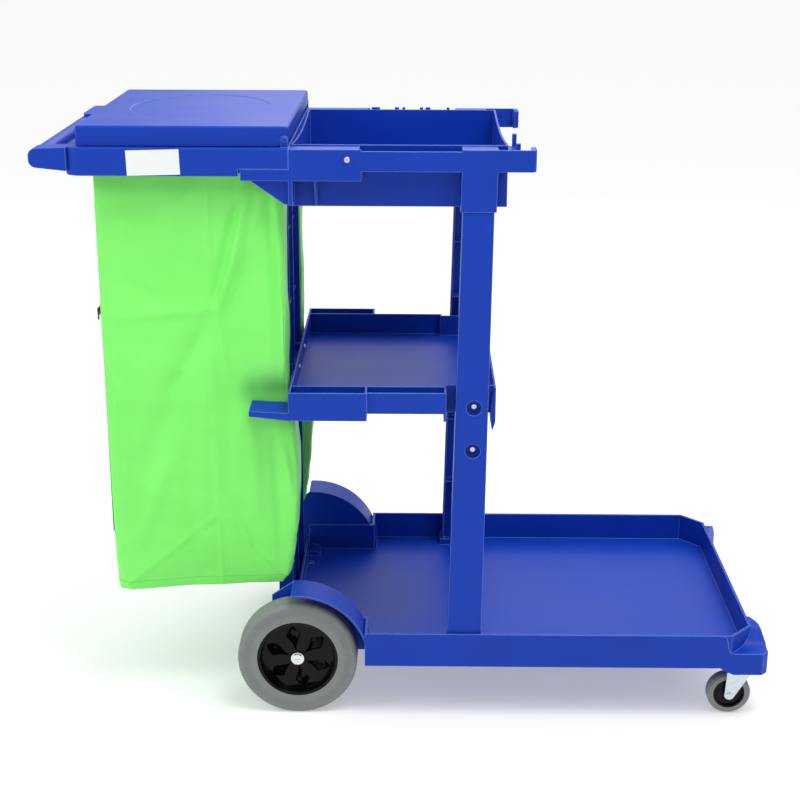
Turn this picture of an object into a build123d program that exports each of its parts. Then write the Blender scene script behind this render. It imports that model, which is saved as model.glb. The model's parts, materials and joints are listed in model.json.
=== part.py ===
# Housekeeping cart: moulded base on two large rear wheels and two swivel casters,
# two front posts and a rear upright that carry a middle shelf, a top tray and a bag frame
# with a push handle, a hinged lid and a hanging zip bag.
# Millimetres. +X points to the casters, +Y to the far side, +Z up.
# The origin is on the floor, under the middle of the cart's length and width.
from build123d import *
from math import sqrt
import os

os.makedirs("parts", exist_ok=True)

# ---------------------------------------------------------------- driving dimensions
length = 1168.0            # push handle to corner bumpers
base_width = 528.0         # across the corner bumpers
top_width = 481.0          # across the top rails
height = 974.5             # floor to the lid's top

wall = 3.0                 # moulded wall
run_gap = 0.3              # between pieces that slide or sit beside each other
shaft_gap = 0.06           # radial clearance of a turning shaft
slip = 0.05                # radial clearance of a fixed pin or screw in its hole

# Stations along the cart
handle_reach = 53.0        # handle beyond the bag frame
bag_bay = 339.0            # length of the bag frame
back_end = -length / 2
front_end = length / 2
rear = back_end + handle_reach + bag_bay    # rear axle and rear edge of the tray

# Rear wheels
wheel_r = 99.0
wheel_rim_r = 67.0
wheel_t = 44.0
wheel_face = base_width / 2 - 14.5          # outer face of the tyre from the middle
axle_r = 6.0
axle_z = wheel_r
hub_bore_r = axle_r + shaft_gap
cap_r = 10.8

# Base
deck_top = axle_z + 4.5
deck_t = 4.0
deck_wall = 4.0
deck_bottom = deck_top - 9.0
rim_top = deck_top + 49.5
side_y = base_width / 2 - 2.0
deck_back = rear - 13.5
deck_front = front_end - 24.0
corner_cut_x = 38.0
corner_cut_y = 40.0
well_y = wheel_face - wheel_t - 2.5         # outer face of the wheel well's inner wall
well_front = rear + wheel_r + 13.0
fender_r = wheel_r + 22.0
fender_back = rear - 8.0
fin_back = rear - 44.0
fin_z = axle_z + 95.0
boss_r = 14.0
rear_lip_top = deck_top + 26.5
rib_pitch = (well_y - 23.0) / 2               # ribs under the deck
rib_t = 3.0
drain_in = well_y - 85.0   # drain slots beside the rear lip
drain_out = well_y - 63.0

# Corner bumpers
bumper_low = deck_top - 19.5
bumper_top = deck_top + 18.5
bumper_y = base_width / 2
bumper_inner_y = bumper_y - 77.0
bumper_sweep = 22.0        # length of the swept rear end of a bumper
bumper_length = 79.0

# Casters
fork_t = 2.5
fork_gap = 2.0
fork_top = bumper_low - 7.0
fork_tip_r = 8.5           # rounded foot of the fork's cheeks
caster_r = (fork_top - fork_t - 2.5) / 2
caster_core_r = caster_r - 10.0
caster_t = 22.0
caster_trail = 20.0
caster_x = front_end - 36.0                 # swivel axis
caster_y = bumper_y - 35.0
stem_r = 5.5
stem_up = 12.0
plate_t = 3.0              # swivel plate under the bumper
bolt_r = 3.0

# Front posts
post_x_low = rear + 274.5
post_x_high = rear + 287.5
post_w_low = 55.5
post_w_high = 47.5
post_d_low = 32.0
post_d_high = 27.0
post_y_low = side_y - 5.0
post_top = height - 70.5
collar_h = 12.0
recess_r = 12.0
recess_depth = 11.0
shelf_floor = 529.0
shelf_screw_z = shelf_floor + 9.0
spare_screw_z = shelf_floor - 62.0
recess_x = 3.5             # the recesses stand this far in front of the post's middle

# Rear upright
upright_face = rear - 13.8                  # face on the shelf side
upright_depth = 24.4
upright_half = min(top_width / 2 - 109.5, well_y - 60.0)
boss_in = min(35.0, well_y - wall - upright_half - 8.0)    # axle boss behind the well wall
upright_foot = deck_bottom + wall
upright_top = height - 77.5
upright_screw_y = upright_half - 69.0
upright_foot_y = upright_half - 41.0

# Middle shelf
shelf_back = rear - 6.0
shelf_front = rear + 320.0
shelf_low = shelf_floor - 8.5
shelf_rim = shelf_floor + 37.0
pocket_end = rear + 116.5
pocket2_end = rear + 241.0
pocket2_low = shelf_floor + 2.0
prong_tip = rear - 68.0
prong_w = 56.0

# Top tray
rail_half = top_width / 2
rail_top = height - 32.5
rail_low = rail_top - 33.0
rail_front = rear + 372.5
apron_low = rail_low - 14.5
apron_end = rear + 109.5
tongue_end = rear + 106.0
bin_half = rail_half - 35.5
bin_back = rear + 1.0
bin_front = rear + 331.0
bin_low = rail_top - 92.0
bin_rim = rail_top + 2.0
scoop_depth = 9.0
scoop_half = bin_half - 20.0
socket_low = bin_low - 2.0
skirt_low = bin_low + 12.0 # lower edge of the upright's socket
rest_tip = rear - 73.0
rest_top = rail_low + wall
gusset_low = bin_low + 7.0
rail_screw_x = rear + 88.0
rail_screw_z = rail_top - 15.0
channel_rim = rail_top - 2.5
hook_finger_in = 73.0      # the two fingers at the front end, from the middle
hook_finger_out = bin_half - 29.0
hook_finger_w = 7.0

# Bag frame and handle
frame_top = rail_top + 1.5
frame_low = rail_top - 41.0
frame_back = rear - bag_bay
frame_wall = 3.0
frame_band = 30.0          # width of the frame's side channels
frame_end_band = 20.0      # width of its handle end
frame_lid_band = 8.0       # width of its hinge end
frame_corner_r = 26.0
handle_r = 13.5
handle_z = rail_top - 15.0
arm_low = handle_z - 20.0
arm_top = handle_z + 16.0
arm_tip = 14.0             # half the height of an arm's rounded tip
arm_tip_r = 12.0
arm_w = 40.0

# Lid
lid_top = height
lid_low = frame_top + 1.5
lid_back = frame_back + 17.3
lid_front = rear - 0.7
lid_half = rail_half - 11.5
lid_t = 2.6
lid_tab_half = 50.0
lid_tab = 23.0
hinge_x = rear - 6.0
hinge_z = lid_low + 10.0
pin_r = 2.5
ear_t = 3.5

# Bag
bag_top = frame_low + 31.0
bag_bottom = deck_top + 91.0
bag_left = frame_back + 34.0
bag_right = rear - 11.0
bag_half_top = rail_half - frame_band - 7.5
bag_half_mid = rail_half - 23.5
bag_half_low = well_y - 10.0
bag_corner_x = 12.0        # the handle end's upright corners are cut off by this much
bag_corner_y = 8.0
bag_waist = shelf_floor + 61.0
bag_t = 1.5
zip_low = bag_bottom + 105.5
zip_high = frame_low - 51.0
zip_w = 24.0
zip_t = 1.2
zip_y = -bag_half_mid + 41.0                # the zip runs beside the near corner
slider_z = zip_high - 174.0

# Screws and label
screw_r = 2.2
head_r = 4.6
head_h = 2.4
label_x = frame_back + 135.5
label_z = rail_top - 20.5
label_w = 80.0
label_h = 38.0
label_t = 0.4

# ---------------------------------------------------------------- helpers


def block(x0, x1, y0, y1, z0, z1):
    return Pos((x0 + x1) / 2, (y0 + y1) / 2, (z0 + z1) / 2) * Box(x1 - x0, y1 - y0, z1 - z0)


def side_prism(points, y0, y1):
    # an outline of (x, z) points carried along Y
    return Pos(0, y0, 0) * extrude(Plane.XZ * Polygon(*points, align=None), amount=y1 - y0, dir=(0, 1, 0))


def plan_prism(points, z0, z1):
    return Pos(0, 0, z0) * extrude(Polygon(*points, align=None), amount=z1 - z0, dir=(0, 0, 1))


def end_prism(points, x0, x1):
    # an outline of (y, z) points carried along X
    return Pos(x0, 0, 0) * extrude(Plane.YZ * Polygon(*points, align=None), amount=x1 - x0, dir=(1, 0, 0))


def rod_y(x, z, r, y0, y1):
    return Pos(x, (y0 + y1) / 2, z) * Rot(90, 0, 0) * Cylinder(r, y1 - y0)


def rod_x(y, z, r, x0, x1):
    return Pos((x0 + x1) / 2, y, z) * Rot(0, 90, 0) * Cylinder(r, x1 - x0)


def rod_z(x, y, r, z0, z1):
    return Pos(x, y, (z0 + z1) / 2) * Cylinder(r, z1 - z0)


def other_side(shape):
    return mirror(shape, about=Plane.XZ)


def both_sides(shape):
    return shape + other_side(shape)


def save(name, shape):
    solids = shape.solids()
    export_step(solids[0] if len(solids) == 1 else Compound(children=list(solids)), f"parts/{name}.step")


def between(z, low, high):
    return low + (high - low) * (z - deck_top) / (post_top - deck_top)


def post_section(z, grow):
    # low x, high x, low y, high y of the post at height z
    mid = between(z, post_x_low, post_x_high)
    half = between(z, post_w_low, post_w_high) / 2 + grow
    outer = between(z, post_y_low, rail_half - wall - run_gap) + grow
    inner = outer - between(z, post_d_low, post_d_high) - 2 * grow
    return mid - half, mid + half, inner, outer


# The shelf fits between the posts; its pockets stand outside them
shelf_narrow = post_section(shelf_rim, 0.0)[2] - 2.45
shelf_half = shelf_narrow + 7.0
pocket_out = shelf_half + 40.0
pocket2_out = shelf_half + 34.0

# ---------------------------------------------------------------- base platform


def deck_plan(inset):
    half = [
        (deck_back, well_y),
        (well_front, well_y),
        (well_front, side_y),
        (deck_front - corner_cut_x, side_y),
        (deck_front, side_y - corner_cut_y),
    ]
    points = half + [(x, -y) for x, y in reversed(half)]
    plan = Polygon(*points, align=None)
    return offset(plan, amount=-inset, kind=Kind.INTERSECTION) if inset else plan


def deck_prism(inset, z0, z1):
    return Pos(0, 0, z0) * extrude(deck_plan(inset), amount=z1 - z0, dir=(0, 0, 1))


def deck_shell():
    shell = deck_prism(0, deck_bottom, rim_top)
    shell -= deck_prism(deck_wall, deck_top, rim_top + 1)
    shell -= deck_prism(deck_wall, deck_bottom - 1, deck_top - deck_t)
    # rear end is a lower lip
    lip_y = well_y - wall
    shell -= block(deck_back - 1, deck_back + wall + 2, -lip_y, lip_y, rear_lip_top, rim_top + 1)
    # ribs under the deck
    for step in range(-2, 3):
        y = step * rib_pitch
        shell += block(deck_back + 1, deck_front - 1, y - rib_t / 2, y + rib_t / 2, deck_bottom, deck_top - 1)
    rib_step = (deck_front - well_front) / 6
    for step in range(1, 6):
        x = well_front + step * rib_step
        shell += block(x - rib_t / 2, x + rib_t / 2, -side_y + wall, side_y - wall, deck_bottom, deck_top - 1)
    return shell


def fender():
    # wheel arch, the well's inner wall and the axle boss
    arch = rod_y(rear, axle_z, fender_r, well_y - wall, side_y)
    arch -= rod_y(rear, axle_z, fender_r - wall, well_y, side_y + 1)
    arch &= block(fender_back, rear + fender_r + 1, 0, side_y + 1, deck_bottom, axle_z + fender_r + 1)
    fin_top = axle_z + sqrt(fender_r ** 2 - (rear - fender_back) ** 2)
    fin_x = fender_back + 1
    fin = [(fin_back, deck_bottom), (fin_x, deck_bottom), (fin_x, fin_top), (fin_back, fin_z)]
    arch += side_prism(fin, well_y - wall, well_y)
    arch += rod_y(rear, axle_z, boss_r, well_y - wall - boss_in, well_y)
    return arch


def bumper():
    x0 = front_end - bumper_length
    s_end = x0 + bumper_sweep
    plan = [
        (x0, side_y), (s_end, bumper_y), (front_end - 10, bumper_y), (front_end, bumper_y - 10),
        (front_end, bumper_y - 32), (deck_front + 4, bumper_inner_y), (x0, bumper_inner_y),
    ]
    body = plan_prism(plan, bumper_low, rim_top)
    below = [(x0 - 1, 0), (s_end, 0), (s_end, bumper_low), (x0, deck_bottom), (x0 - 1, deck_bottom)]
    body -= side_prism(below, bumper_inner_y - 1, bumper_y + 1)
    # the top falls in one sweep along the side and in another along the front
    fall_x = Spline((x0, rim_top), (s_end, bumper_top), tangents=((1, 0), (1, 0)))
    over_x = Polyline((s_end, bumper_top), (front_end + 1, bumper_top), (front_end + 1, rim_top + 9),
                      (x0, rim_top + 9), (x0, rim_top))
    cut_x = extrude(Plane.XZ * make_face(fall_x + over_x), amount=bumper_y + 1, dir=(0, 1, 0))
    fall_y = Spline((bumper_inner_y + 14, rim_top), (bumper_y - 16, bumper_top), tangents=((1, 0), (1, 0)))
    over_y = Polyline((bumper_y - 16, bumper_top), (bumper_y + 1, bumper_top), (bumper_y + 1, rim_top + 9),
                      (bumper_inner_y + 14, rim_top + 9), (bumper_inner_y + 14, rim_top))
    cut_y = extrude(Plane.YZ * make_face(fall_y + over_y), amount=bumper_length + 3, dir=(1, 0, 0))
    cut_y = Pos(x0 - 1, 0, 0) * cut_y
    body -= cut_x & cut_y
    # hollow from below, round a boss for the caster's stem
    hollow = block(s_end + wall, front_end - 8, bumper_inner_y + wall, bumper_y - 8, bumper_low - 1,
                   deck_top - deck_t)
    hollow -= rod_z(caster_x, caster_y, stem_r + 9, bumper_low - 1, deck_top)
    body -= hollow
    return body


def post_collar():
    foot = post_section(deck_top, 0.0)
    rim = post_section(deck_top + collar_h, 0.0)
    x0, y0 = min(foot[0], rim[0]), min(foot[2], rim[2])
    x1, y1 = max(foot[1], rim[1]), max(foot[3], rim[3])
    gap = run_gap
    out = gap + wall
    ring = block(x0 - out, x1 + out, y0 - out, side_y - 1, deck_top - 1, deck_top + collar_h)
    return ring - block(x0 - gap, x1 + gap, y0 - gap, y1 + gap, deck_top, deck_top + collar_h + 1)


def upright_pocket():
    x0 = upright_face - upright_depth - run_gap
    x1 = deck_back + 1
    y1 = upright_half + run_gap
    pocket = block(x0 - wall, x1, -y1 - wall, y1 + wall, deck_bottom, rear_lip_top)
    pocket -= block(x0, deck_back, -y1, y1, upright_foot, rear_lip_top + 1)
    # a strap on each side ties the pocket to the well walls
    for side in (-1, 1):
        low, high = sorted((side * (y1 + wall - 1), side * (well_y - 1)))
        pocket += block(x0 - wall, x1, low, high, deck_bottom, deck_bottom + 12)
    return pocket


def make_base():
    base = deck_shell()
    base += both_sides(fender())
    base += both_sides(bumper())
    # the deck is clear inside its rim, but for the wheel wells and their bosses
    kept = both_sides(block(deck_back - 1, rear + fender_r + 1, well_y - wall - boss_in, side_y + 1,
                            deck_top - 1, axle_z + fender_r + 1))
    base -= deck_prism(deck_wall, deck_top, rim_top + 1) - kept
    base += both_sides(post_collar())
    base += upright_pocket()
    for side in (-1, 1):
        low, high = sorted((side * (well_y - wall - boss_in + 4), side * (well_y + 1)))
        base -= rod_y(rear, axle_z, axle_r + slip, low, high)
        stem_end = bumper_low + stem_up + run_gap
        base -= rod_z(caster_x, side * caster_y, stem_r + slip, bumper_low - 1, stem_end)
        # drain slots by the rear lip
        low, high = sorted((side * drain_in, side * drain_out))
        base -= block(deck_back + wall + 5, deck_back + wall + 14, low, high, deck_bottom - 1, deck_top + 1)
    # holes for the foot screws of the posts and of the upright
    for x, y in foot_screw_places():
        for side in (-1, 1):
            base -= rod_z(x, side * y, screw_r + slip, deck_bottom - 1, deck_top + 1)
    return base


# ---------------------------------------------------------------- front posts


def post_loft(z0, z1, grow, open_by=0.0):
    faces = []
    for z in (z0, z1):
        x0, x1, y0, y1 = post_section(z, grow)
        y0 -= open_by
        faces.append(Pos((x0 + x1) / 2, (y0 + y1) / 2, z) * Rectangle(x1 - x0, y1 - y0))
    return loft(faces)


def post_outer_y(z):
    return post_section(z, 0.0)[3]


def recess_place(z):
    return between(z, post_x_low, post_x_high) + recess_x


def make_post():
    post = post_loft(deck_top, post_top, 0.0)
    post -= post_loft(deck_top + wall, post_top - wall, -wall, open_by=2 * wall + 1)
    for share in (0.16, 0.32, 0.62, 0.75, 0.87):
        z = deck_top + share * (post_top - deck_top)
        x0, x1, y0, y1 = post_section(z, -1.0)
        post += block(x0, x1, y0 + 5, y1, z - 1.2, z + 1.2)
    # deep round recesses with a screw hole in the bottom
    for z in (shelf_screw_z, spare_screw_z):
        x = recess_place(z)
        face = post_outer_y(z)
        post += rod_y(x, z, recess_r + 2.5, face - recess_depth - 3, face - 1)
        post -= rod_y(x, z, recess_r, face - recess_depth, face + 2)
        post -= rod_y(x, z, screw_r + slip, face - recess_depth - 9, face)
    for x, y in foot_screw_places()[:1]:
        post -= rod_z(x, abs(y), screw_r + slip, deck_top - 1, deck_top + wall + 1)
    return post


# ---------------------------------------------------------------- rear upright


def make_upright():
    x1 = upright_face
    x0 = x1 - upright_depth
    panel = block(x0, x1, -upright_half, upright_half, upright_foot, upright_top)
    panel -= block(x0 + wall, x1 + 1, -upright_half + wall, upright_half - wall, upright_foot + wall,
                   upright_top - wall)
    for y in (-upright_half / 3, upright_half / 3):
        panel += block(x0 + 1, x1 - 4, y - rib_t / 2, y + rib_t / 2, upright_foot + 1, upright_top - 1)
    for share in (0.18, 0.36, 0.68, 0.84):
        z = upright_foot + share * (upright_top - upright_foot)
        panel += block(x0 + 1, x1 - 8, -upright_half + 1, upright_half - 1, z - 1.2, z + 1.2)
    for y, z in upright_screw_places():
        panel += rod_x(y, z, 7.0, x0 + 1, x1)
        panel -= rod_x(y, z, screw_r + slip, x0 + wall, x1 + 1)
    for x, y in foot_screw_places()[1:]:
        for side in (-1, 1):
            panel -= rod_z(x, side * y, screw_r + slip, upright_foot - 1, upright_foot + wall + 1)
    return panel


# ---------------------------------------------------------------- middle shelf


def make_shelf():
    shelf = block(shelf_back, shelf_front, -shelf_narrow, shelf_narrow, shelf_low, shelf_rim)
    shelf += block(shelf_back, pocket2_end, -shelf_half - wall, shelf_half + wall, shelf_low, shelf_rim)
    # long pockets beside the shelf: two on the near side, one on the far side
    shelf += block(shelf_back, pocket_end, shelf_half, pocket_out, shelf_low, shelf_rim)
    shelf += block(shelf_back, pocket_end, -pocket_out, -shelf_half, shelf_low, shelf_rim)
    shelf += block(pocket_end - wall, pocket2_end, -pocket2_out, -shelf_half, pocket2_low, shelf_rim - 1)
    shelf += block(pocket2_end - 4, pocket2_end, -pocket2_out, -shelf_half, shelf_low - 2, shelf_rim - 1)
    shelf -= block(shelf_back + wall, pocket2_end - wall, -shelf_half, shelf_half, shelf_floor, shelf_rim + 1)
    shelf -= block(pocket2_end - wall - 1, shelf_front - wall, -shelf_narrow + wall, shelf_narrow - wall,
                   shelf_floor, shelf_rim + 1)
    for side in (-1, 1):
        low, high = sorted((side * (shelf_half + wall), side * (pocket_out - wall)))
        shelf -= block(shelf_back + wall, pocket_end - wall, low, high, shelf_low + wall, shelf_rim + 1)
    shelf -= block(pocket_end, pocket2_end - wall, -pocket2_out + wall, -shelf_half - wall,
                   pocket2_low + wall, shelf_rim + 1)
    # underside is open between ribs
    under_top = shelf_floor - wall
    cell_x = (pocket2_end - shelf_back - wall) / 3
    cell_y = (2 * shelf_half + wall) / 3
    for row in range(3):
        for column in range(3):
            x0 = shelf_back + wall + row * cell_x
            y0 = -shelf_half + column * cell_y
            shelf -= block(x0, x0 + cell_x - wall, y0, y0 + cell_y - wall, shelf_low - 1, under_top)
    # tool rest that points back beside the bag
    prong = [
        (shelf_back + 1, shelf_low), (prong_tip, shelf_low + 6.5),
        (prong_tip, shelf_low + 15.5), (shelf_back + 1, shelf_low + 12.5),
    ]
    shelf += side_prism(prong, -pocket_out, -pocket_out + prong_w)
    # spacer pads against the rear upright
    for y, z in upright_screw_places():
        if shelf_low < z < shelf_rim:
            shelf += rod_x(y, z, 8.0, upright_face, shelf_back + 1)
            shelf -= rod_x(y, z, screw_r + slip, upright_face - 1, shelf_back + wall + 1)
    # side pads that the post screws bite into, and hanging clips at the front corners
    for side in (-1, 1):
        x = recess_place(shelf_screw_z)
        bite = post_outer_y(shelf_screw_z) - recess_depth - 3 - run_gap
        low, high = sorted((side * (shelf_narrow - 8), side * bite))
        shelf += block(x - 9, x + 9, low, high, shelf_screw_z - 9, shelf_screw_z + 9)
        low, high = sorted((side * (shelf_narrow - 9), side * (bite + 1)))
        shelf -= rod_y(x, shelf_screw_z, screw_r + slip, low, high)
        clip = [
            (shelf_front - 3, shelf_rim), (shelf_front, shelf_rim), (shelf_front, shelf_low - 12),
            (shelf_front - 5, shelf_low - 27), (shelf_front - 8, shelf_low - 12),
            (shelf_front - 8, shelf_low + 6),
        ]
        shelf += side_prism(clip, *sorted((side * (shelf_narrow - 22), side * (shelf_narrow + 12))))
    return shelf


def near_pocket_space():
    # the near pockets and the tool rest, outside the shelf's own wall
    low, high = shelf_low - 3, shelf_rim + 1
    pockets = block(shelf_back - 1, pocket2_end, -pocket_out - 1, -shelf_half - wall, low, high)
    return pockets + block(prong_tip - 1, shelf_back, -pocket_out - 1, -upright_half, low, high)


def far_pocket_space():
    return block(shelf_back - 1, pocket_end, shelf_half + wall, pocket_out + 1, shelf_low - 3, shelf_rim + 1)


# ---------------------------------------------------------------- top tray


def bin_hollow():
    half = bin_half - wall
    return block(bin_back + wall, bin_front - wall, -half, half, bin_low + wall, bin_rim + 9)


def tray_bin():
    body = block(bin_back, bin_front, -bin_half, bin_half, bin_low, bin_rim)
    body -= bin_hollow()
    # both end walls dip in a long shallow arc
    arc_r = (scoop_half ** 2 + scoop_depth ** 2) / (2 * scoop_depth)
    body -= rod_x(0, bin_rim + arc_r - scoop_depth, arc_r, bin_back - 1, bin_front + 1)
    return body


def tray_rail():
    # side channel outside the bin, on the +Y side
    rail = block(rear, rail_front - 8, bin_half - 1, rail_half, rail_low, rail_top)
    rail += rod_z(rail_front - 8, rail_half - 8, 8, rail_low, rail_top)
    rail -= block(rear - 1, apron_end, bin_half, rail_half - wall, rail_low + wall, rail_top + 1)
    rail -= block(apron_end, socket_x()[0], bin_half, rail_half - wall, rail_low + wall, rail_top + 1)
    rail -= block(socket_x()[1], rail_front - 8, bin_half - 2, rail_half - wall, rail_low - 1, rail_top + 1)
    rail -= block(apron_end, socket_x()[0], rail_half - wall - 1, rail_half + 1, channel_rim, rail_top + 1)
    # deeper apron under the rear stretch
    rail += block(rear, apron_end, rail_half - wall, rail_half, apron_low, rail_low + 1)
    rail += block(apron_end - wall, apron_end, bin_half - 1, rail_half, apron_low, rail_low + 1)
    # stiffening ribs between the bin and the rail
    for x in (rear + 4, rear + 39):
        rib = [(bin_half - 1, bin_low + 1), (bin_half + 4, bin_low + 1), (rail_half - wall, apron_low),
               (rail_half - wall, rail_low + 1), (bin_half - 1, rail_low + 1)]
        rail += end_prism(rib, x - 1.5, x + 1.5)
    return rail


def socket_x():
    x0, x1, _, _ = post_section(rail_top, run_gap + wall)
    return x0, x1


def post_socket():
    # tapered sleeve round the top of the post, closed on top but for an oval hole
    x0, x1 = socket_x()
    low_x0, low_x1, low_y0, _ = post_section(socket_low, run_gap + wall)
    top_y0 = low_y0 - 2
    foot = Rectangle(low_x1 - low_x0, rail_half - low_y0)
    head = Rectangle(x1 - x0, rail_half - top_y0)
    sleeve = loft([
        Pos((low_x0 + low_x1) / 2, (low_y0 + rail_half) / 2, socket_low) * foot,
        Pos((x0 + x1) / 2, (top_y0 + rail_half) / 2, rail_top) * head,
    ])
    sleeve += block(x0, x1, bin_half - 1, rail_half, rail_low, rail_top)
    sleeve -= post_loft(socket_low - 1, post_top + run_gap, run_gap)
    hole = Pos((x0 + x1) / 2, (bin_half + rail_half) / 2, post_top) * extrude(Ellipse(9.5, 6.0), amount=60)
    return sleeve - hole


def rest_arm():
    # arm under the bag frame with a gusset below, on the +Y side
    arm = block(rest_tip, rear + 1, bin_half + 2, rail_half, apron_low, rest_top)
    gusset = [
        (rest_tip + 10, apron_low + 1), (rear + 1, apron_low + 1),
        (rear + 1, gusset_low), (rear - 8, gusset_low),
    ]
    arm += side_prism(gusset, rail_half - 14, rail_half - 14 + wall)
    arm += block(rear - 1, rear + 5.5, bin_half - 1, rail_half, gusset_low, rail_low + 1)
    return arm


def upright_socket():
    x0 = upright_face - upright_depth - run_gap
    y1 = upright_half + run_gap
    shell = block(x0 - wall, bin_back + 1, -y1 - wall, y1 + wall, skirt_low, upright_top + run_gap + wall)
    shell -= block(x0, upright_face + run_gap, -y1, y1, skirt_low - 1, upright_top + run_gap)
    shell -= block(upright_face + run_gap + wall, bin_back, -y1, y1, skirt_low - 1, upright_top + run_gap)
    for y, z in upright_screw_places():
        if z > bin_low:
            shell += rod_x(y, z, 7.0, upright_face + run_gap, bin_back + 1)
    return shell


def front_hooks():
    # fingers at the front end that hold tool handles
    hooks = block(rail_front - 7, rail_front, rail_half - 38, rail_half - 6, rail_low + 4, rail_top)
    near_hook = block(rail_front - 7, rail_front, rail_half - 34, rail_half - 6, rail_low + 4, rail_top)
    hooks += other_side(near_hook)
    shelf_z = rail_low + 9
    ledge_end = bin_front + 21
    hooks += plan_prism([(bin_front - 1, -hook_finger_in + 25), (ledge_end, -hook_finger_in + 7),
                         (ledge_end, -hook_finger_out), (bin_front - 1, -hook_finger_out - 20)],
                        shelf_z, shelf_z + wall)
    for y in (-hook_finger_in, -hook_finger_out):
        hooks += block(ledge_end - 7, ledge_end, y, y + hook_finger_w, shelf_z, rail_top)
    # side struts from the bin's end wall to the rails
    for side in (-1, 1):
        hooks += block(socket_x()[1] - 2, bin_front, *sorted((side * (bin_half - 4), side * (rail_half - 1))),
                       rail_low + 3, rail_low + 3 + wall)
    return hooks


def rail_tabs():
    # small upstanding tabs on the far rail's outer wall
    tabs = None
    for x0, x1 in ((112, 127), (153.5, 161), (167, 172), (198, 204), (208, 217), (246, 251)):
        tab = block(rear + x0, rear + x1, rail_half - wall, rail_half, channel_rim - 1, rail_top + 1.5)
        tabs = tab if tabs is None else tabs + tab
    return tabs


def make_tray():
    tray = tray_bin()
    tray += both_sides(tray_rail() + post_socket() + rest_arm())
    tray += upright_socket()
    tray += front_hooks() + rail_tabs()
    tray -= bin_hollow()
    for side in (-1, 1):
        tray -= rod_y(rail_screw_x, rail_screw_z, screw_r + slip,
                      *sorted((side * (rail_half - wall - 1), side * (rail_half + 1))))
        low = post_loft(socket_low - 1, post_top + run_gap, run_gap)
        tray -= low if side > 0 else other_side(low)
    for y, z in upright_screw_places():
        if z > bin_low:
            tray -= rod_x(y, z, screw_r + slip, upright_face - 1, bin_back + wall + 1)
    return tray


# ---------------------------------------------------------------- bag frame with push handle


def frame_ring():
    x1 = rear - run_gap
    mid_x = (frame_back + x1) / 2
    plan = Rectangle(x1 - frame_back, 2 * rail_half)
    outer = Pos(mid_x, 0, frame_low) * extrude(plan, amount=frame_top - frame_low)
    outer = fillet(outer.edges().filter_by(Axis.Z).group_by(Axis.X)[0], frame_corner_r)
    outer = fillet(outer.faces().sort_by(Axis.Z)[-1].edges().filter_by(Axis.X), 3)
    in_y = rail_half - frame_band
    opening = block(frame_back + frame_end_band, x1 - frame_lid_band, -in_y, in_y,
                    frame_low - 1, frame_top + 1)
    ring = outer - opening
    # hollow from below
    roof = frame_top - frame_wall
    for side in (-1, 1):
        low, high = sorted((side * (rail_half - frame_wall), side * (in_y + frame_wall)))
        ring -= block(frame_back + frame_corner_r, x1 - frame_wall, low, high, frame_low - 1, roof)
    ring -= block(frame_back + frame_wall, frame_back + frame_end_band - frame_wall, -in_y, in_y,
                  frame_low - 1, roof)
    # room for the tray's rest arms
    for side in (-1, 1):
        ring -= block(rest_tip - 3, rear + 1, *sorted((side * (bin_half - 2), side * (rail_half + 1))),
                      frame_low - 1, rest_top + run_gap)
    return ring


def frame_tongue():
    # runs inside the tray's rail and is screwed to it
    y0 = bin_half + run_gap
    y1 = rail_half - wall - run_gap
    z0 = rail_low + wall + run_gap
    tongue = block(rear - frame_wall - 1, tongue_end, y0, y1, z0, rail_top)
    tongue -= block(rear, tongue_end - wall, y0 + wall, y1 - wall, z0 - 1, rail_top - wall)
    tongue += rod_y(rail_screw_x, rail_screw_z, 6.0, y1 - 16, y1 - 1)
    tongue -= rod_y(rail_screw_x, rail_screw_z, screw_r + slip, y1 - 15, y1 + 1)
    return tongue


def hinge_ear():
    y0 = lid_half + run_gap
    ear = block(hinge_x - 6.5, hinge_x + 5.5, y0, y0 + ear_t, frame_top - 1, hinge_z)
    ear += rod_y(hinge_x - 0.5, hinge_z, 6.0, y0, y0 + ear_t)
    return ear


def push_handle():
    x_bar = back_end + handle_r + 0.5
    bar_half = rail_half - arm_w + 6
    bar = rod_y(x_bar, handle_z, handle_r, -bar_half, bar_half)
    arm_outline = [
        (frame_back + 4, arm_low), (frame_back + 4, arm_top),
        (back_end, handle_z + arm_tip), (back_end, handle_z - arm_tip),
    ]
    arm = side_prism(arm_outline, rail_half - arm_w, rail_half - 5)
    arm = fillet(arm.edges().filter_by(Axis.Y).group_by(Axis.X)[0], arm_tip_r)
    return bar + both_sides(arm)


def make_frame():
    frame = frame_ring() + push_handle() + both_sides(frame_tongue()) + both_sides(hinge_ear())
    for side in (-1, 1):
        y0 = lid_half + run_gap
        frame -= rod_y(hinge_x, hinge_z, pin_r + slip, *sorted((side * (y0 - 1), side * (y0 + ear_t + 1))))
    return frame


# ---------------------------------------------------------------- lid


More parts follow.
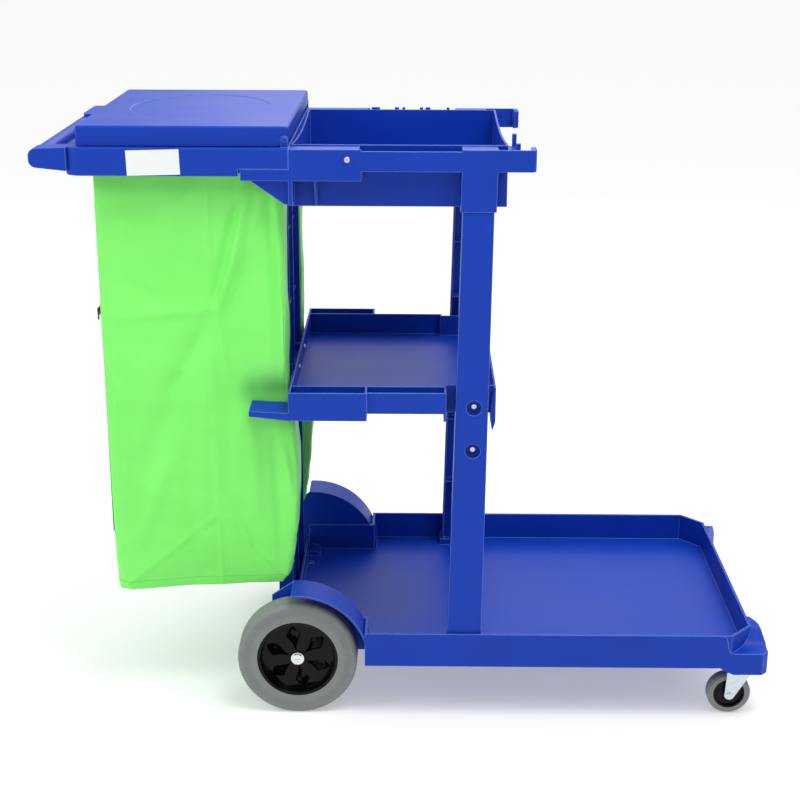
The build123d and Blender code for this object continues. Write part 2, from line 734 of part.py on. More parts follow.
def make_lid():
    mid_x = (lid_back + lid_front) / 2
    plan = Rectangle(lid_front - lid_back, 2 * lid_half)
    skin = Pos(mid_x, 0, lid_low) * extrude(plan, amount=lid_top - lid_low)
    skin = fillet(skin.edges().filter_by(Axis.Z), 7)
    skin = fillet(skin.faces().sort_by(Axis.Z)[-1].edges(), 4)
    in_y = lid_half - lid_t
    skin -= block(lid_back + lid_t, lid_front - lid_t, -in_y, in_y, lid_low - 1, lid_top - lid_t)
    # shallow oval panel on top
    skin -= Pos(mid_x, 0, lid_top - 0.8) * extrude(Ellipse(112, 158), amount=5)
    # finger tab
    tab = block(lid_back - lid_tab, lid_back + 6, -lid_tab_half, lid_tab_half, lid_top - 13, lid_top - 6)
    tab = fillet(tab.edges().filter_by(Axis.Z).group_by(Axis.X)[0], 8)
    skin += tab
    # the rear lower edge is cut back so that the lid can swing up
    cut = [
        (hinge_x - 12, lid_low - 1), (hinge_x - 1, hinge_z - 3),
        (lid_front + 1, hinge_z - 3), (lid_front + 1, lid_low - 1),
    ]
    skin -= side_prism(cut, -lid_half - 1, lid_half + 1)
    # knuckles round the pins
    for side in (-1, 1):
        low, high = sorted((side * (lid_half - 9), side * lid_half))
        skin += rod_y(hinge_x, hinge_z, 5.2, low, high)
        low, high = sorted((side * (lid_half - 10), side * (lid_half + 1)))
        skin -= rod_y(hinge_x, hinge_z, pin_r + shaft_gap, low, high)
    return skin


def make_pins():
    pins = []
    for side in (-1, 1):
        y0 = lid_half + run_gap + ear_t
        pin = rod_y(hinge_x, hinge_z, pin_r, *sorted((side * (lid_half - 9), side * y0)))
        pin += rod_y(hinge_x, hinge_z, pin_r + 1.6, *sorted((side * y0, side * (y0 + 1.6))))
        pins.append(pin)
    return pins[0] + pins[1]


# ---------------------------------------------------------------- bag


def bag_form(inset, z0, z1):
    # the bag's outer form drawn in by an inset; it wraps round the rear upright
    recess_x = upright_face - upright_depth - wall - 2 * run_gap - 1.5 - inset
    recess_y = upright_half + wall + 3.0 + inset

    def face(z, half):
        half -= inset
        x0 = bag_left + inset
        x1 = bag_right - inset
        points = [
            (x0 + bag_corner_x, -half), (x1 - 8, -half), (x1, -half + 14), (x1, -recess_y),
            (recess_x, -recess_y), (recess_x, recess_y), (x1, recess_y), (x1, half - 14),
            (x1 - 8, half), (x0 + bag_corner_x, half), (x0, half - bag_corner_y), (x0, -half + bag_corner_y),
        ]
        return Pos(0, 0, z) * Polygon(*points, align=None)

    neck_z = frame_low - 4.0
    low = loft([face(z0, bag_half_low), face(bag_waist, bag_half_mid)], ruled=True)
    mid = loft([face(bag_waist, bag_half_mid), face(neck_z, bag_half_top)], ruled=True)
    top = extrude(face(neck_z, bag_half_top), amount=z1 - neck_z)
    return low + mid + top


def make_bag():
    bag = bag_form(0.0, bag_bottom, bag_top)
    hollow = bag_form(bag_t, bag_bottom + bag_t, bag_top + 2)
    # pushed in by the shelf's tool rest
    rest_y = pocket_out - prong_w
    for form, extra in ((0, 3.0), (1, 3.0 + bag_t)):
        dent = block(prong_tip - 8 - extra, bag_right + 20, -pocket_out - 20, -rest_y + extra,
                     shelf_low - 6 - extra, shelf_low + 20 + extra)
        if form == 0:
            bag -= dent
        else:
            hollow -= dent
    return bag - hollow


def make_zip():
    return block(bag_left - zip_t, bag_left, zip_y - zip_w / 2, zip_y + zip_w / 2, zip_low, zip_high)


def make_slider():
    x1 = bag_left - zip_t - run_gap
    body = block(x1 - 3.0, x1, zip_y - 5, zip_y + 5, slider_z - 7, slider_z + 7)
    body = fillet(body.edges().filter_by(Axis.X), 2.5)
    return body + block(x1 - 4.6, x1 - 2.9, zip_y - 1.6, zip_y + 1.6, slider_z - 3, slider_z + 3)


def make_pull():
    x1 = bag_left - zip_t - run_gap - 4.6
    tag = block(x1 - 1.6, x1, zip_y - 3.5, zip_y + 3.5, slider_z - 16, slider_z + 4)
    return fillet(tag.edges().filter_by(Axis.X), 2.5)


# ---------------------------------------------------------------- rear wheels


def make_hub():
    # +Y side; the dish opens outwards between six raised spokes
    y1 = wheel_face - 1.0
    y0 = wheel_face - wheel_t + 2.0
    hub = rod_y(rear, axle_z, wheel_rim_r, y0, y1)
    hub -= rod_y(rear, axle_z, wheel_rim_r - 5, y1 - 15, y1 + 1)
    hub -= rod_y(rear, axle_z, wheel_rim_r - 5, y0 - 1, y0 + 16)
    hub += rod_y(rear, axle_z, 16, y0, y1 - 4)
    spoke = side_prism([(9, -4), (wheel_rim_r - 3, -9), (wheel_rim_r - 3, 9), (9, 4)], y1 - 16, y1 - 8)
    for turn in range(6):
        hub += Pos(rear, 0, axle_z) * Rot(0, 60 * turn + 30, 0) * spoke
    return hub - rod_y(rear, axle_z, hub_bore_r, y0 - 1, y1 + 1)


def make_tyre():
    half = wheel_t / 2
    mid = wheel_face - half
    section = [
        (wheel_rim_r, -half + 1), (wheel_r - 9, -half), (wheel_r - 3, -half + 3), (wheel_r, -half + 8),
        (wheel_r, half - 9), (wheel_r - 1.2, half - 8), (wheel_r - 1.2, half - 6), (wheel_r, half - 5),
        (wheel_r - 2, half - 2), (wheel_r - 6, half), (wheel_rim_r, half),
    ]
    outline = Plane.YZ * Polygon(*[(y, r) for r, y in section], align=None)
    return Pos(rear, mid, axle_z) * revolve(outline, Axis.Y)


def make_axle():
    inner = well_y - wall - boss_in + 4
    return rod_y(rear, axle_z, axle_r, inner, wheel_face - 4.5)


def make_cap():
    y0 = wheel_face - 4.5
    washer = rod_y(rear, axle_z, cap_r, y0, y0 + 2)
    head = rod_y(rear, axle_z, cap_r - 2.5, y0 + 2, y0 + 5)
    head -= block(rear - 4.5, rear + 4.5, y0 + 3.6, y0 + 6, axle_z - 0.7, axle_z + 0.7)
    head -= block(rear - 0.7, rear + 0.7, y0 + 3.6, y0 + 6, axle_z - 4.5, axle_z + 4.5)
    return washer + head


# ---------------------------------------------------------------- casters (+Y side)

wheel_x = caster_x - caster_trail
fork_in = caster_t / 2 + fork_gap
fork_out = fork_in + fork_t


def make_caster_stem():
    stem = rod_z(caster_x, caster_y, stem_r, fork_top - fork_t - 2.0, bumper_low + stem_up)
    stem += rod_z(caster_x, caster_y, 16.0, bumper_low - plate_t, bumper_low)
    stem_foot = fork_top - fork_t
    return stem + rod_z(caster_x, caster_y, stem_r + 1.6, stem_foot - 2.0, stem_foot - run_gap)


def make_fork():
    plate_out = [(caster_x - 26, fork_top), (caster_x + 14, fork_top), (wheel_x + 6.5, caster_r - 5.5),
                 (wheel_x, caster_r - fork_tip_r), (wheel_x - 8.3, caster_r - 1.5)]
    cheek = None
    for y0, y1 in ((caster_y + fork_in, caster_y + fork_out), (caster_y - fork_out, caster_y - fork_in)):
        plate = side_prism(plate_out, y0, y1) + rod_y(wheel_x, caster_r, fork_tip_r, y0, y1)
        cheek = plate if cheek is None else cheek + plate
    crown = block(caster_x - 26, caster_x + 14, caster_y - fork_out, caster_y + fork_out,
                  fork_top - fork_t, fork_top)
    crown += rod_z(caster_x, caster_y, 15.0, fork_top - 1, bumper_low - plate_t - run_gap)
    fork = cheek + crown
    fork -= rod_z(caster_x, caster_y, stem_r + shaft_gap, fork_top - 9, bumper_low)
    return fork - rod_y(wheel_x, caster_r, bolt_r + slip, caster_y - fork_out - 1, caster_y + fork_out + 1)


def make_caster_bolt():
    bolt = rod_y(wheel_x, caster_r, bolt_r, caster_y - fork_out, caster_y + fork_out)
    bolt += rod_y(wheel_x, caster_r, 4.2, caster_y + fork_out, caster_y + fork_out + 1.8)
    return bolt + rod_y(wheel_x, caster_r, 4.8, caster_y - fork_out - 3, caster_y - fork_out)


def make_caster_core():
    half = caster_t / 2
    core = rod_y(wheel_x, caster_r, caster_core_r, caster_y - half + 1, caster_y + half - 1)
    for side in (-1, 1):
        low, high = sorted((side * (half - 5), side * (half + 1)))
        ring = rod_y(wheel_x, caster_r, caster_core_r - 3, caster_y + low, caster_y + high)
        core -= ring - rod_y(wheel_x, caster_r, 8, caster_y + low, caster_y + high)
    return core - rod_y(wheel_x, caster_r, bolt_r + shaft_gap, caster_y - half, caster_y + half)


def make_caster_tyre():
    half = caster_t / 2
    section = [(caster_core_r, -half), (caster_r - 3, -half), (caster_r, -half + 4), (caster_r, half - 4),
               (caster_r - 3, half), (caster_core_r, half)]
    outline = Plane.YZ * Polygon(*[(y, r) for r, y in section], align=None)
    return Pos(wheel_x, caster_y, caster_r) * revolve(outline, Axis.Y)


# ---------------------------------------------------------------- screws and label


def foot_screw_places():
    x0, x1, y0, y1 = post_section(deck_top, 0.0)
    return [((x0 + x1) / 2, (y0 + y1) / 2), (upright_face - upright_depth / 2, upright_foot_y)]


def upright_screw_places():
    heights = (shelf_floor + 19.0, bin_low + 30.0)
    return [(side * upright_screw_y, z) for z in heights for side in (-1, 1)]


def screw(shank):
    # stands on its head's underside, shank down -Z, cross slot on top
    body = Pos(0, 0, head_h / 2) * Cylinder(head_r, head_h)
    body = fillet(body.edges().sort_by(Axis.Z)[-1], 1.2)
    body += Pos(0, 0, -shank / 2) * Cylinder(screw_r, shank)
    for turn in (0, 90):
        body -= Pos(0, 0, head_h) * Rot(0, 0, turn) * Box(5.0, 1.0, 2.2)
    return body


def screws_on(places, turns, shank):
    made = [Pos(*place) * Rot(*turn) * screw(shank) for place, turn in zip(places, turns)]
    group = made[0]
    for one in made[1:]:
        group += one
    return group


def side_screws(x, z, face, shank):
    places = [(x, -face, z), (x, face, z)]
    return screws_on(places, [(90, 0, 0), (-90, 0, 0)], shank)


def recess_screws(z, shank):
    return side_screws(recess_place(z), z, post_outer_y(z) - recess_depth, shank)


def make_upright_screws(z_pick, wall_x, shank):
    places = [(wall_x, y, z) for y, z in upright_screw_places() if z_pick[0] < z < z_pick[1]]
    return screws_on(places, [(0, 90, 0)] * len(places), shank)


def make_foot_screws():
    post_x, post_y = foot_screw_places()[0]
    up_x, up_y = foot_screw_places()[1]
    places = [(post_x, -post_y, deck_top - deck_t), (post_x, post_y, deck_top - deck_t),
              (up_x, -up_y, deck_bottom), (up_x, up_y, deck_bottom)]
    return screws_on(places, [(180, 0, 0)] * 4, 5.5)


def make_label():
    return Pos(label_x, -rail_half - label_t / 2, label_z) * Rot(0, -1.5, 0) * Box(label_w, label_t, label_h)


# ---------------------------------------------------------------- write every node

save("base_platform", make_base())
post = make_post()
save("front_post_far", post)
save("front_post_near", other_side(post))
save("rear_upright", make_upright())
shelf = make_shelf()
save("middle_shelf", shelf - near_pocket_space() - far_pocket_space())
save("shelf_pockets_near", shelf & near_pocket_space())
save("shelf_pocket_far", shelf & far_pocket_space())
save("top_tray", make_tray())
save("bag_frame", make_frame())
save("lid", make_lid())
save("lid_pins", make_pins())
save("collection_bag", make_bag())
save("zip_tape", make_zip())
save("zip_slider", make_slider())
save("zip_pull", make_pull())

far_pieces = {
    "rear_hub": make_hub(), "rear_tyre": make_tyre(), "rear_axle": make_axle(), "axle_cap": make_cap(),
    "caster_stem": make_caster_stem(), "caster_fork": make_fork(), "caster_bolt": make_caster_bolt(),
    "caster_core": make_caster_core(), "caster_tyre": make_caster_tyre(),
}
for name, shape in far_pieces.items():
    save(f"{name}_far", shape)
    save(f"{name}_near", other_side(shape))

save("rail_screws", side_screws(rail_screw_x, rail_screw_z, rail_half, 14.0))
save("post_shelf_screws", recess_screws(shelf_screw_z, 12.0))
save("post_spare_screws", recess_screws(spare_screw_z, 6.0))
save("shelf_upright_screws", make_upright_screws((shelf_low, shelf_rim), shelf_back + wall, 20.0))
save("tray_upright_screws", make_upright_screws((bin_low, bin_rim), bin_back + wall, 30.0))
save("foot_screws", make_foot_screws())
save("label_plate", make_label())
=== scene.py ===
# Housekeeping cart: the looks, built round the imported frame.
# Metres, +X towards the casters, +Y to the far side, +Z up.
import json
import math

import bmesh
import bpy
from mathutils import Matrix, Vector, noise


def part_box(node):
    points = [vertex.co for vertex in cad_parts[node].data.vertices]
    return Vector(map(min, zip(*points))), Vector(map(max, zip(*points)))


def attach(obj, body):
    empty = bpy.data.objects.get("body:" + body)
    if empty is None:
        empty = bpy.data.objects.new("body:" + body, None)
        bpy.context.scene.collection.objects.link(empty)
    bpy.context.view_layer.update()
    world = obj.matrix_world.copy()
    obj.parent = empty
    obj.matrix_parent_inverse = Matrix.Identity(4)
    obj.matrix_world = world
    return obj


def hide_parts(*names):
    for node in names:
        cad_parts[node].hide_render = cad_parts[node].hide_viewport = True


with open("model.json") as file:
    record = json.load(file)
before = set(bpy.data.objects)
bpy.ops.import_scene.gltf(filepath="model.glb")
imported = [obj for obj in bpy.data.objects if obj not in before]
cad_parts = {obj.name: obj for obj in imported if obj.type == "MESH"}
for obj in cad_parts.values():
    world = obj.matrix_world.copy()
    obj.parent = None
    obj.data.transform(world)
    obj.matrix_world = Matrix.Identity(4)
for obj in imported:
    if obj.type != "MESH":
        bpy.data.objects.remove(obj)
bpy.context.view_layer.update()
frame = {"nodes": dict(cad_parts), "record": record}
nodes = frame["nodes"]
print("frame loaded,", len(nodes), "nodes")

mm = 0.001


def linear(hexColour):  # sRGB hex to linear RGBA
    channels = [int(hexColour[i:i + 2], 16) / 255 for i in (1, 3, 5)]
    return [c / 12.92 if c <= 0.04045 else ((c + 0.055) / 1.055) ** 2.4 for c in channels] + [1.0]


def bandScale(pitch):  # a wave texture's scale for bands this many mm apart
    return 1000 / pitch / 20 * math.pi


def addNode(tree, kind, inputs=None, **settings):  # a socket as a value makes a link
    node = tree.nodes.new(kind)
    for name, value in settings.items():
        setattr(node, name, value)
    for name, value in (inputs or {}).items():
        if isinstance(value, bpy.types.NodeSocket):
            tree.links.new(value, node.inputs[name])
        else:
            node.inputs[name].default_value = value
    return node


def newMaterial(name):
    material = bpy.data.materials.new(name)
    material.use_nodes = True
    material.node_tree.nodes.clear()
    return material, material.node_tree


def objectPlace(tree):
    return addNode(tree, "ShaderNodeTexCoord").outputs["Object"]


def finishShader(tree, inputs):
    shader = addNode(tree, "ShaderNodeBsdfPrincipled", inputs)
    addNode(tree, "ShaderNodeOutputMaterial", {"Surface": shader.outputs["BSDF"]})
    return shader


# camera, floor and light

view = {
    "place": (-0.00326, -2.54904, 1.30284),
    "tiltDown": 18.0740,
    "turn": 0.5018,
    "roll": 0.1852,
    "lens": 69.53,
    "sensor": 36.0,
}


def makeCamera():
    data = bpy.data.cameras.new("camera")
    data.lens = view["lens"]
    data.sensor_width = view["sensor"]
    data.clip_end = 200
    camera = bpy.data.objects.new("camera", data)
    turn = Matrix.Rotation(math.radians(view["turn"]), 4, "Z")
    tilt = Matrix.Rotation(math.radians(90 - view["tiltDown"]), 4, "X")
    roll = Matrix.Rotation(math.radians(view["roll"]), 4, "Z")
    camera.matrix_world = Matrix.Translation(view["place"]) @ turn @ tilt @ roll
    bpy.context.scene.collection.objects.link(camera)
    bpy.context.scene.camera = camera


studio = {
    "sky": "#ffffff",
    "skyTop": 1.15,
    "skyBack": 0.60,
    "skyFront": 0.05,
    "horizon": 1.2,
    # how high a direction points, 0 level and 1 straight up
    "coveTop": 0.05,
    "wallFoot": 0.10,
    "ceiling": 0.8,
    "sideReach": 0.6,  # how far round the front's light blends into the back's
    "floor": "#cccdcd",
    "floorGlow": 0.36,
    "floorReach": 30.0,
    "softboxes": [
        # place, looks at, width, watts
        ((-2.4, -1.3, 2.0), (-0.2, 0, 0.6), 0.7, 16),
        ((0.9, -1.1, 3.7), (0.1, 0, 0.3), 1.4, 66),
        ((0.2, 2.6, 2.6), (0, 0, 0.6), 2.0, 22),
    ],
}


def makeSky():
    # white overhead, dim in front and brighter behind
    look = studio
    world = bpy.data.worlds.new("studio")
    world.use_nodes = True
    tree = world.node_tree
    tree.nodes.clear()
    place = addNode(tree, "ShaderNodeTexCoord")
    split = addNode(tree, "ShaderNodeSeparateXYZ", {"Vector": place.outputs["Generated"]})
    side = addNode(tree, "ShaderNodeMapRange", {
        "Value": split.outputs["Y"], "From Min": -look["sideReach"], "From Max": look["sideReach"],
        "To Min": look["skyFront"], "To Max": look["skyBack"]})
    lift = addNode(tree, "ShaderNodeMapRange", {
        "Value": split.outputs["Z"], "From Min": look["wallFoot"], "From Max": look["ceiling"],
        "To Min": side.outputs["Result"], "To Max": look["skyTop"]})
    # a low white cove all round, so the floor has no dark edge from any side
    cove = addNode(tree, "ShaderNodeMapRange", {
        "Value": split.outputs["Z"], "From Min": look["wallFoot"], "From Max": look["coveTop"],
        "To Min": 0.0, "To Max": look["horizon"]})
    both = addNode(tree, "ShaderNodeMath", {0: lift.outputs["Result"], 1: cove.outputs["Result"]},
                   operation="MAXIMUM")
    glow = addNode(tree, "ShaderNodeBackground", {"Color": linear(look["sky"]),
                                                  "Strength": both.outputs["Value"]})
    addNode(tree, "ShaderNodeOutputWorld", {"Surface": glow.outputs["Background"]})
    bpy.context.scene.world = world


def makeSoftboxes():
    for index, (place, target, width, watts) in enumerate(studio["softboxes"]):
        data = bpy.data.lights.new(f"softbox{index}", "AREA")
        data.shape = "SQUARE"
        data.size = width
        data.energy = watts
        lamp = bpy.data.objects.new(f"softbox{index}", data)
        lamp.location = place
        lamp.rotation_euler = (Vector(target) - Vector(place)).to_track_quat("-Z", "Y").to_euler()
        bpy.context.scene.collection.objects.link(lamp)


def makeFloor():
    reach = studio["floorReach"]
    mesh = bpy.data.meshes.new("floor")
    corners = [(-reach, -reach, 0), (reach, -reach, 0), (reach, reach, 0), (-reach, reach, 0)]
    mesh.from_pydata(corners, [], [(0, 1, 2, 3)])
    floor = bpy.data.objects.new("floor", mesh)
    bpy.context.scene.collection.objects.link(floor)
    material, tree = newMaterial("matt white studio floor")
    finishShader(tree, {"Base Color": linear(studio["floor"]), "Roughness": 0.9, "Specular IOR Level": 0.1,
                        "Emission Color": linear(studio["sky"]), "Emission Strength": studio["floorGlow"]})
    mesh.materials.append(material)


bpy.context.scene.view_settings.view_transform = "Standard"
makeCamera()
makeSky()
makeSoftboxes()
makeFloor()
print("camera, floor and light set")

# materials: every pattern has its size in mm, so a texture's scale is 1000 / size

polypropylene = {
    "colour": "#0d3cae",
    "deep": "#0a359f",
    # painted highlight: the pale blue laid along the rounded edges
    "edge": "#7f9ff4",
    "roughness": 0.42,
    "grain": 0.7,  # mm, fine spark-eroded mould texture
    "grainDepth": 0.012,  # mm
    "flow": 90.0,  # mm, slow colour drift of the melt
    "edgeRadius": 1.8,  # mm
    "paintedHighlightShare": 0.95,
    "paintedHighlightRange": (0.995, 0.80),  # how far the rounded edge's direction leans away, as a cosine
    "roughnessDrift": 0.06,
    "specular": 0.18,
}


def makePolypropylene():
    # injection moulded polypropylene, blue: satin, fine grain, and a painted highlight that makes the moulded
    # edges lighter, where they would catch the light
    look = polypropylene
    material, tree = newMaterial("injection moulded polypropylene, blue")
    place = objectPlace(tree)
    drift = addNode(tree, "ShaderNodeTexNoise", {"Vector": place, "Scale": 1000 / look["flow"],
                                                 "Detail": 3.0, "Roughness": 0.5})
    body = addNode(tree, "ShaderNodeMix", {0: drift.outputs["Fac"], 6: linear(look["deep"]),
                                           7: linear(look["colour"])}, data_type="RGBA")
    soft = addNode(tree, "ShaderNodeBevel", {"Radius": look["edgeRadius"] * mm}, samples=4)
    flat = addNode(tree, "ShaderNodeNewGeometry")
    turn = addNode(tree, "ShaderNodeVectorMath", {0: soft.outputs["Normal"], 1: flat.outputs["Normal"]},
                   operation="DOT_PRODUCT")
    # painted highlight: where the bevel's rounded normal leans away from the flat one, the colour is mixed
    # towards the pale edge blue
    edge = addNode(tree, "ShaderNodeMapRange", {
        "Value": turn.outputs["Value"], "From Min": look["paintedHighlightRange"][0], "From Max": look["paintedHighlightRange"][1],
        "To Min": 0.0, "To Max": look["paintedHighlightShare"]})
    colour = addNode(tree, "ShaderNodeMix", {0: edge.outputs["Result"], 6: body.outputs[2],
                                             7: linear(look["edge"])}, data_type="RGBA")
    grain = addNode(tree, "ShaderNodeTexNoise", {"Vector": place, "Scale": 1000 / look["grain"],
                                                 "Detail": 2.0})
    bump = addNode(tree, "ShaderNodeBump", {
        "Height": grain.outputs["Fac"], "Distance": look["grainDepth"] * mm, "Strength": 1.0,
        "Normal": soft.outputs["Normal"]})
    rub = addNode(tree, "ShaderNodeMapRange", {"Value": drift.outputs["Fac"],
                                               "To Min": look["roughness"] - look["roughnessDrift"],
                                               "To Max": look["roughness"] + look["roughnessDrift"]})
    finishShader(tree, {"Base Color": colour.outputs[2], "Roughness": rub.outputs["Result"],
                        "Specular IOR Level": look["specular"], "Normal": bump.outputs["Normal"]})
    return material


tyreRubber = {
    "colour": "#757a79",
    "dusty": "#858a87",
    "roughness": 0.72,
    "grain": 1.4,  # mm
    "grainDepth": 0.05,  # mm
    "cloud": 22.0,  # mm
}


def makeTyreRubber():
    # solid thermoplastic rubber, grey, moulded: dull, slightly dusty in patches
    look = tyreRubber
    material, tree = newMaterial("moulded thermoplastic rubber, grey")
    place = objectPlace(tree)
    cloud = addNode(tree, "ShaderNodeTexNoise", {"Vector": place, "Scale": 1000 / look["cloud"],
                                                 "Detail": 5.0, "Roughness": 0.6})
    colour = addNode(tree, "ShaderNodeMix", {0: cloud.outputs["Fac"], 6: linear(look["colour"]),
                                             7: linear(look["dusty"])}, data_type="RGBA")
    grain = addNode(tree, "ShaderNodeTexNoise", {"Vector": place, "Scale": 1000 / look["grain"],
                                                 "Detail": 3.0})
    bump = addNode(tree, "ShaderNodeBump", {"Height": grain.outputs["Fac"],
                                            "Distance": look["grainDepth"] * mm})
    finishShader(tree, {"Base Color": colour.outputs[2], "Roughness": look["roughness"],
                        "Specular IOR Level": 0.3, "Normal": bump.outputs["Normal"]})
    return material


hubPlastic = {
    "colour": "#040505",
    "roughness": 0.2,
    "ripple": 14.0,  # mm
    "rippleDepth": 0.08,  # mm
    "edgeRadius": 0.8,  # mm
    "coat": 0.08,
}


def makeHubPlastic():
    # moulded ABS, black, polished mould: glossy with faint sink ripples
    look = hubPlastic
    material, tree = newMaterial("moulded ABS, glossy black")
    place = objectPlace(tree)
    ripple = addNode(tree, "ShaderNodeTexNoise", {"Vector": place, "Scale": 1000 / look["ripple"],
                                                  "Detail": 1.0})
    soft = addNode(tree, "ShaderNodeBevel", {"Radius": look["edgeRadius"] * mm}, samples=4)
    bump = addNode(tree, "ShaderNodeBump", {
        "Height": ripple.outputs["Fac"], "Distance": look["rippleDepth"] * mm,
        "Normal": soft.outputs["Normal"]})
    rub = addNode(tree, "ShaderNodeMapRange", {
        "Value": ripple.outputs["Fac"], "To Min": look["roughness"] - 0.05,
        "To Max": look["roughness"] + 0.08})
    finishShader(tree, {"Base Color": linear(look["colour"]), "Roughness": rub.outputs["Result"],
                        "Specular IOR Level": 0.12, "Coat Weight": look["coat"],
                        "Normal": bump.outputs["Normal"]})
    return material


zinc = {
    "colour": "#d3d9dd",
    "cool": "#c3ccd4",
    "roughness": 0.3,
    "spangle": 6.0,  # mm
    "scratch": 0.8,  # mm
    "scratchStretch": 0.08,  # drawn out along the height
    "scratchDepth": 0.02,  # mm
}


def makeZinc():
    # bright zinc plate on pressed steel: pale, a little blue, soft spangle and drawing marks
    look = zinc
    material, tree = newMaterial("bright zinc plated steel")
    place = objectPlace(tree)
    spangle = addNode(tree, "ShaderNodeTexVoronoi", {"Vector": place,
                                                     "Scale": 1000 / look["spangle"]})
    colour = addNode(tree, "ShaderNodeMix", {0: spangle.outputs["Distance"], 6: linear(look["colour"]),
                                             7: linear(look["cool"])}, data_type="RGBA")
    marks = addNode(tree, "ShaderNodeMapping", {"Vector": place,
                                                "Scale": (1.0, 1.0, look["scratchStretch"])})
    scratch = addNode(tree, "ShaderNodeTexNoise", {
        "Vector": marks.outputs["Vector"], "Scale": 1000 / look["scratch"], "Detail": 2.0})
    bump = addNode(tree, "ShaderNodeBump", {"Height": scratch.outputs["Fac"],
                                            "Distance": look["scratchDepth"] * mm})
    rub = addNode(tree, "ShaderNodeMapRange", {
        "Value": scratch.outputs["Fac"], "To Min": look["roughness"] - 0.08,
        "To Max": look["roughness"] + 0.12})
    finishShader(tree, {"Base Color": colour.outputs[2], "Metallic": 1.0, "Roughness": rub.outputs["Result"],
                        "Normal": bump.outputs["Normal"]})
    return material


chrome = {"colour": "#dfe1e3", "roughness": 0.09, "wave": 5.0, "waveDepth": 0.05}  # both wave values in mm


def makeChrome():
    # bright chrome plate on a turned cap: mirror-like, very slight waviness
    look = chrome
    material, tree = newMaterial("bright chrome plate")
    place = objectPlace(tree)
    wave = addNode(tree, "ShaderNodeTexNoise", {"Vector": place, "Scale": 1000 / look["wave"]})
    bump = addNode(tree, "ShaderNodeBump", {"Height": wave.outputs["Fac"],
                                            "Distance": look["waveDepth"] * mm})
    rub = addNode(tree, "ShaderNodeMapRange", {
        "Value": wave.outputs["Fac"], "To Min": look["roughness"] - 0.04, "To Max": look["roughness"] + 0.05})
    finishShader(tree, {"Base Color": linear(look["colour"]), "Metallic": 1.0,
                        "Roughness": rub.outputs["Result"], "Normal": bump.outputs["Normal"]})
    return material


cloth = {
    "colour": "#76e862",
    "light": "#88f276",
    "thread": 1.1,  # mm; the real 0.3 mm threads wouldn't show, so they are drawn coarser
    "threadDepth": 0.03,  # mm
    "crumple": 38.0,  # mm, small creases left from packing
    "crumpleDepth": 2.6,  # mm
    "tone": 111.0,  # mm
    "roughness": 0.5,
}


def makeCloth():
    # plain-woven polyester with a soft polyurethane coat, lime green: fine weave, light creasing, dull shine
    look = cloth
    material, tree = newMaterial("coated woven polyester, lime green")
    place = objectPlace(tree)
    flat = addNode(tree, "ShaderNodeUVMap", uv_map="cloth")
    threads = {"Vector": flat.outputs["UV"], "Scale": bandScale(look["thread"])}
    weft = addNode(tree, "ShaderNodeTexWave", threads, bands_direction="X")
    warp = addNode(tree, "ShaderNodeTexWave", threads, bands_direction="Y")
    weave = addNode(tree, "ShaderNodeMath", {0: weft.outputs["Fac"], 1: warp.outputs["Fac"]},
                    operation="MULTIPLY")
    crumple = addNode(tree, "ShaderNodeTexVoronoi", {
        "Vector": flat.outputs["UV"], "Scale": 1000 / look["crumple"],
        "Randomness": 1.0}, feature="SMOOTH_F1")
    fine = addNode(tree, "ShaderNodeBump", {"Height": weave.outputs["Value"],
                                            "Distance": look["threadDepth"] * mm})
    bump = addNode(tree, "ShaderNodeBump", {"Height": crumple.outputs["Distance"],
                                            "Distance": look["crumpleDepth"] * mm, "Strength": 0.5,
                                            "Normal": fine.outputs["Normal"]})
    tone = addNode(tree, "ShaderNodeTexNoise", {"Vector": place, "Scale": 1000 / look["tone"],
                                                "Detail": 3.0})
    colour = addNode(tree, "ShaderNodeMix", {0: tone.outputs["Fac"], 6: linear(look["colour"]),
                                             7: linear(look["light"])}, data_type="RGBA")
    finishShader(tree, {"Base Color": colour.outputs[2], "Roughness": look["roughness"],
                        "Specular IOR Level": 0.2, "Normal": bump.outputs["Normal"]})
    return material


zipFinish = {
    "tape": "#6fdc5b",
    "coil": "#66cf54",
    "metal": "#0d0d0e",
    "rib": 0.9,  # mm
    "ribDepth": 0.1,  # mm
    "coilCloud": 3.33,  # mm
    "enamelCloud": 2.5,  # mm
    "enamelDepth": 0.02,  # mm
}


def makeZipTape():
    # knitted polyester zip tape, green: matt, fine ribs across
    material, tree = newMaterial("knitted polyester zip tape, green")
    place = objectPlace(tree)
    rib = addNode(tree, "ShaderNodeTexWave", {"Vector": place,
                                              "Scale": bandScale(zipFinish["rib"])}, bands_direction="Z")
    bump = addNode(tree, "ShaderNodeBump", {"Height": rib.outputs["Fac"],
                                            "Distance": zipFinish["ribDepth"] * mm})
    finishShader(tree, {"Base Color": linear(zipFinish["tape"]), "Roughness": 0.85,
                        "Specular IOR Level": 0.2, "Normal": bump.outputs["Normal"]})
    return material


def makeZipCoil():
    # nylon monofilament coil, green: slightly shiny
    material, tree = newMaterial("nylon coil, green")
    place = objectPlace(tree)
    cloud = addNode(tree, "ShaderNodeTexNoise", {"Vector": place,
                                                 "Scale": 1000 / zipFinish["coilCloud"]})
    rub = addNode(tree, "ShaderNodeMapRange", {"Value": cloud.outputs["Fac"], "To Min": 0.3, "To Max": 0.45})
    finishShader(tree, {"Base Color": linear(zipFinish["coil"]), "Roughness": rub.outputs["Result"]})
    return material


def makeZipMetal():
    # zinc die casting under black stove enamel: smooth and semi gloss, with a faint unevenness
    material, tree = newMaterial("die cast zinc, black enamel")
    place = objectPlace(tree)
    cloud = addNode(tree, "ShaderNodeTexNoise", {"Vector": place,
                                                 "Scale": 1000 / zipFinish["enamelCloud"], "Detail": 3.0})
    bump = addNode(tree, "ShaderNodeBump", {"Height": cloud.outputs["Fac"],
                                            "Distance": zipFinish["enamelDepth"] * mm})
    finishShader(tree, {"Base Color": linear(zipFinish["metal"]), "Roughness": 0.32,
                        "Normal": bump.outputs["Normal"]})
    return material


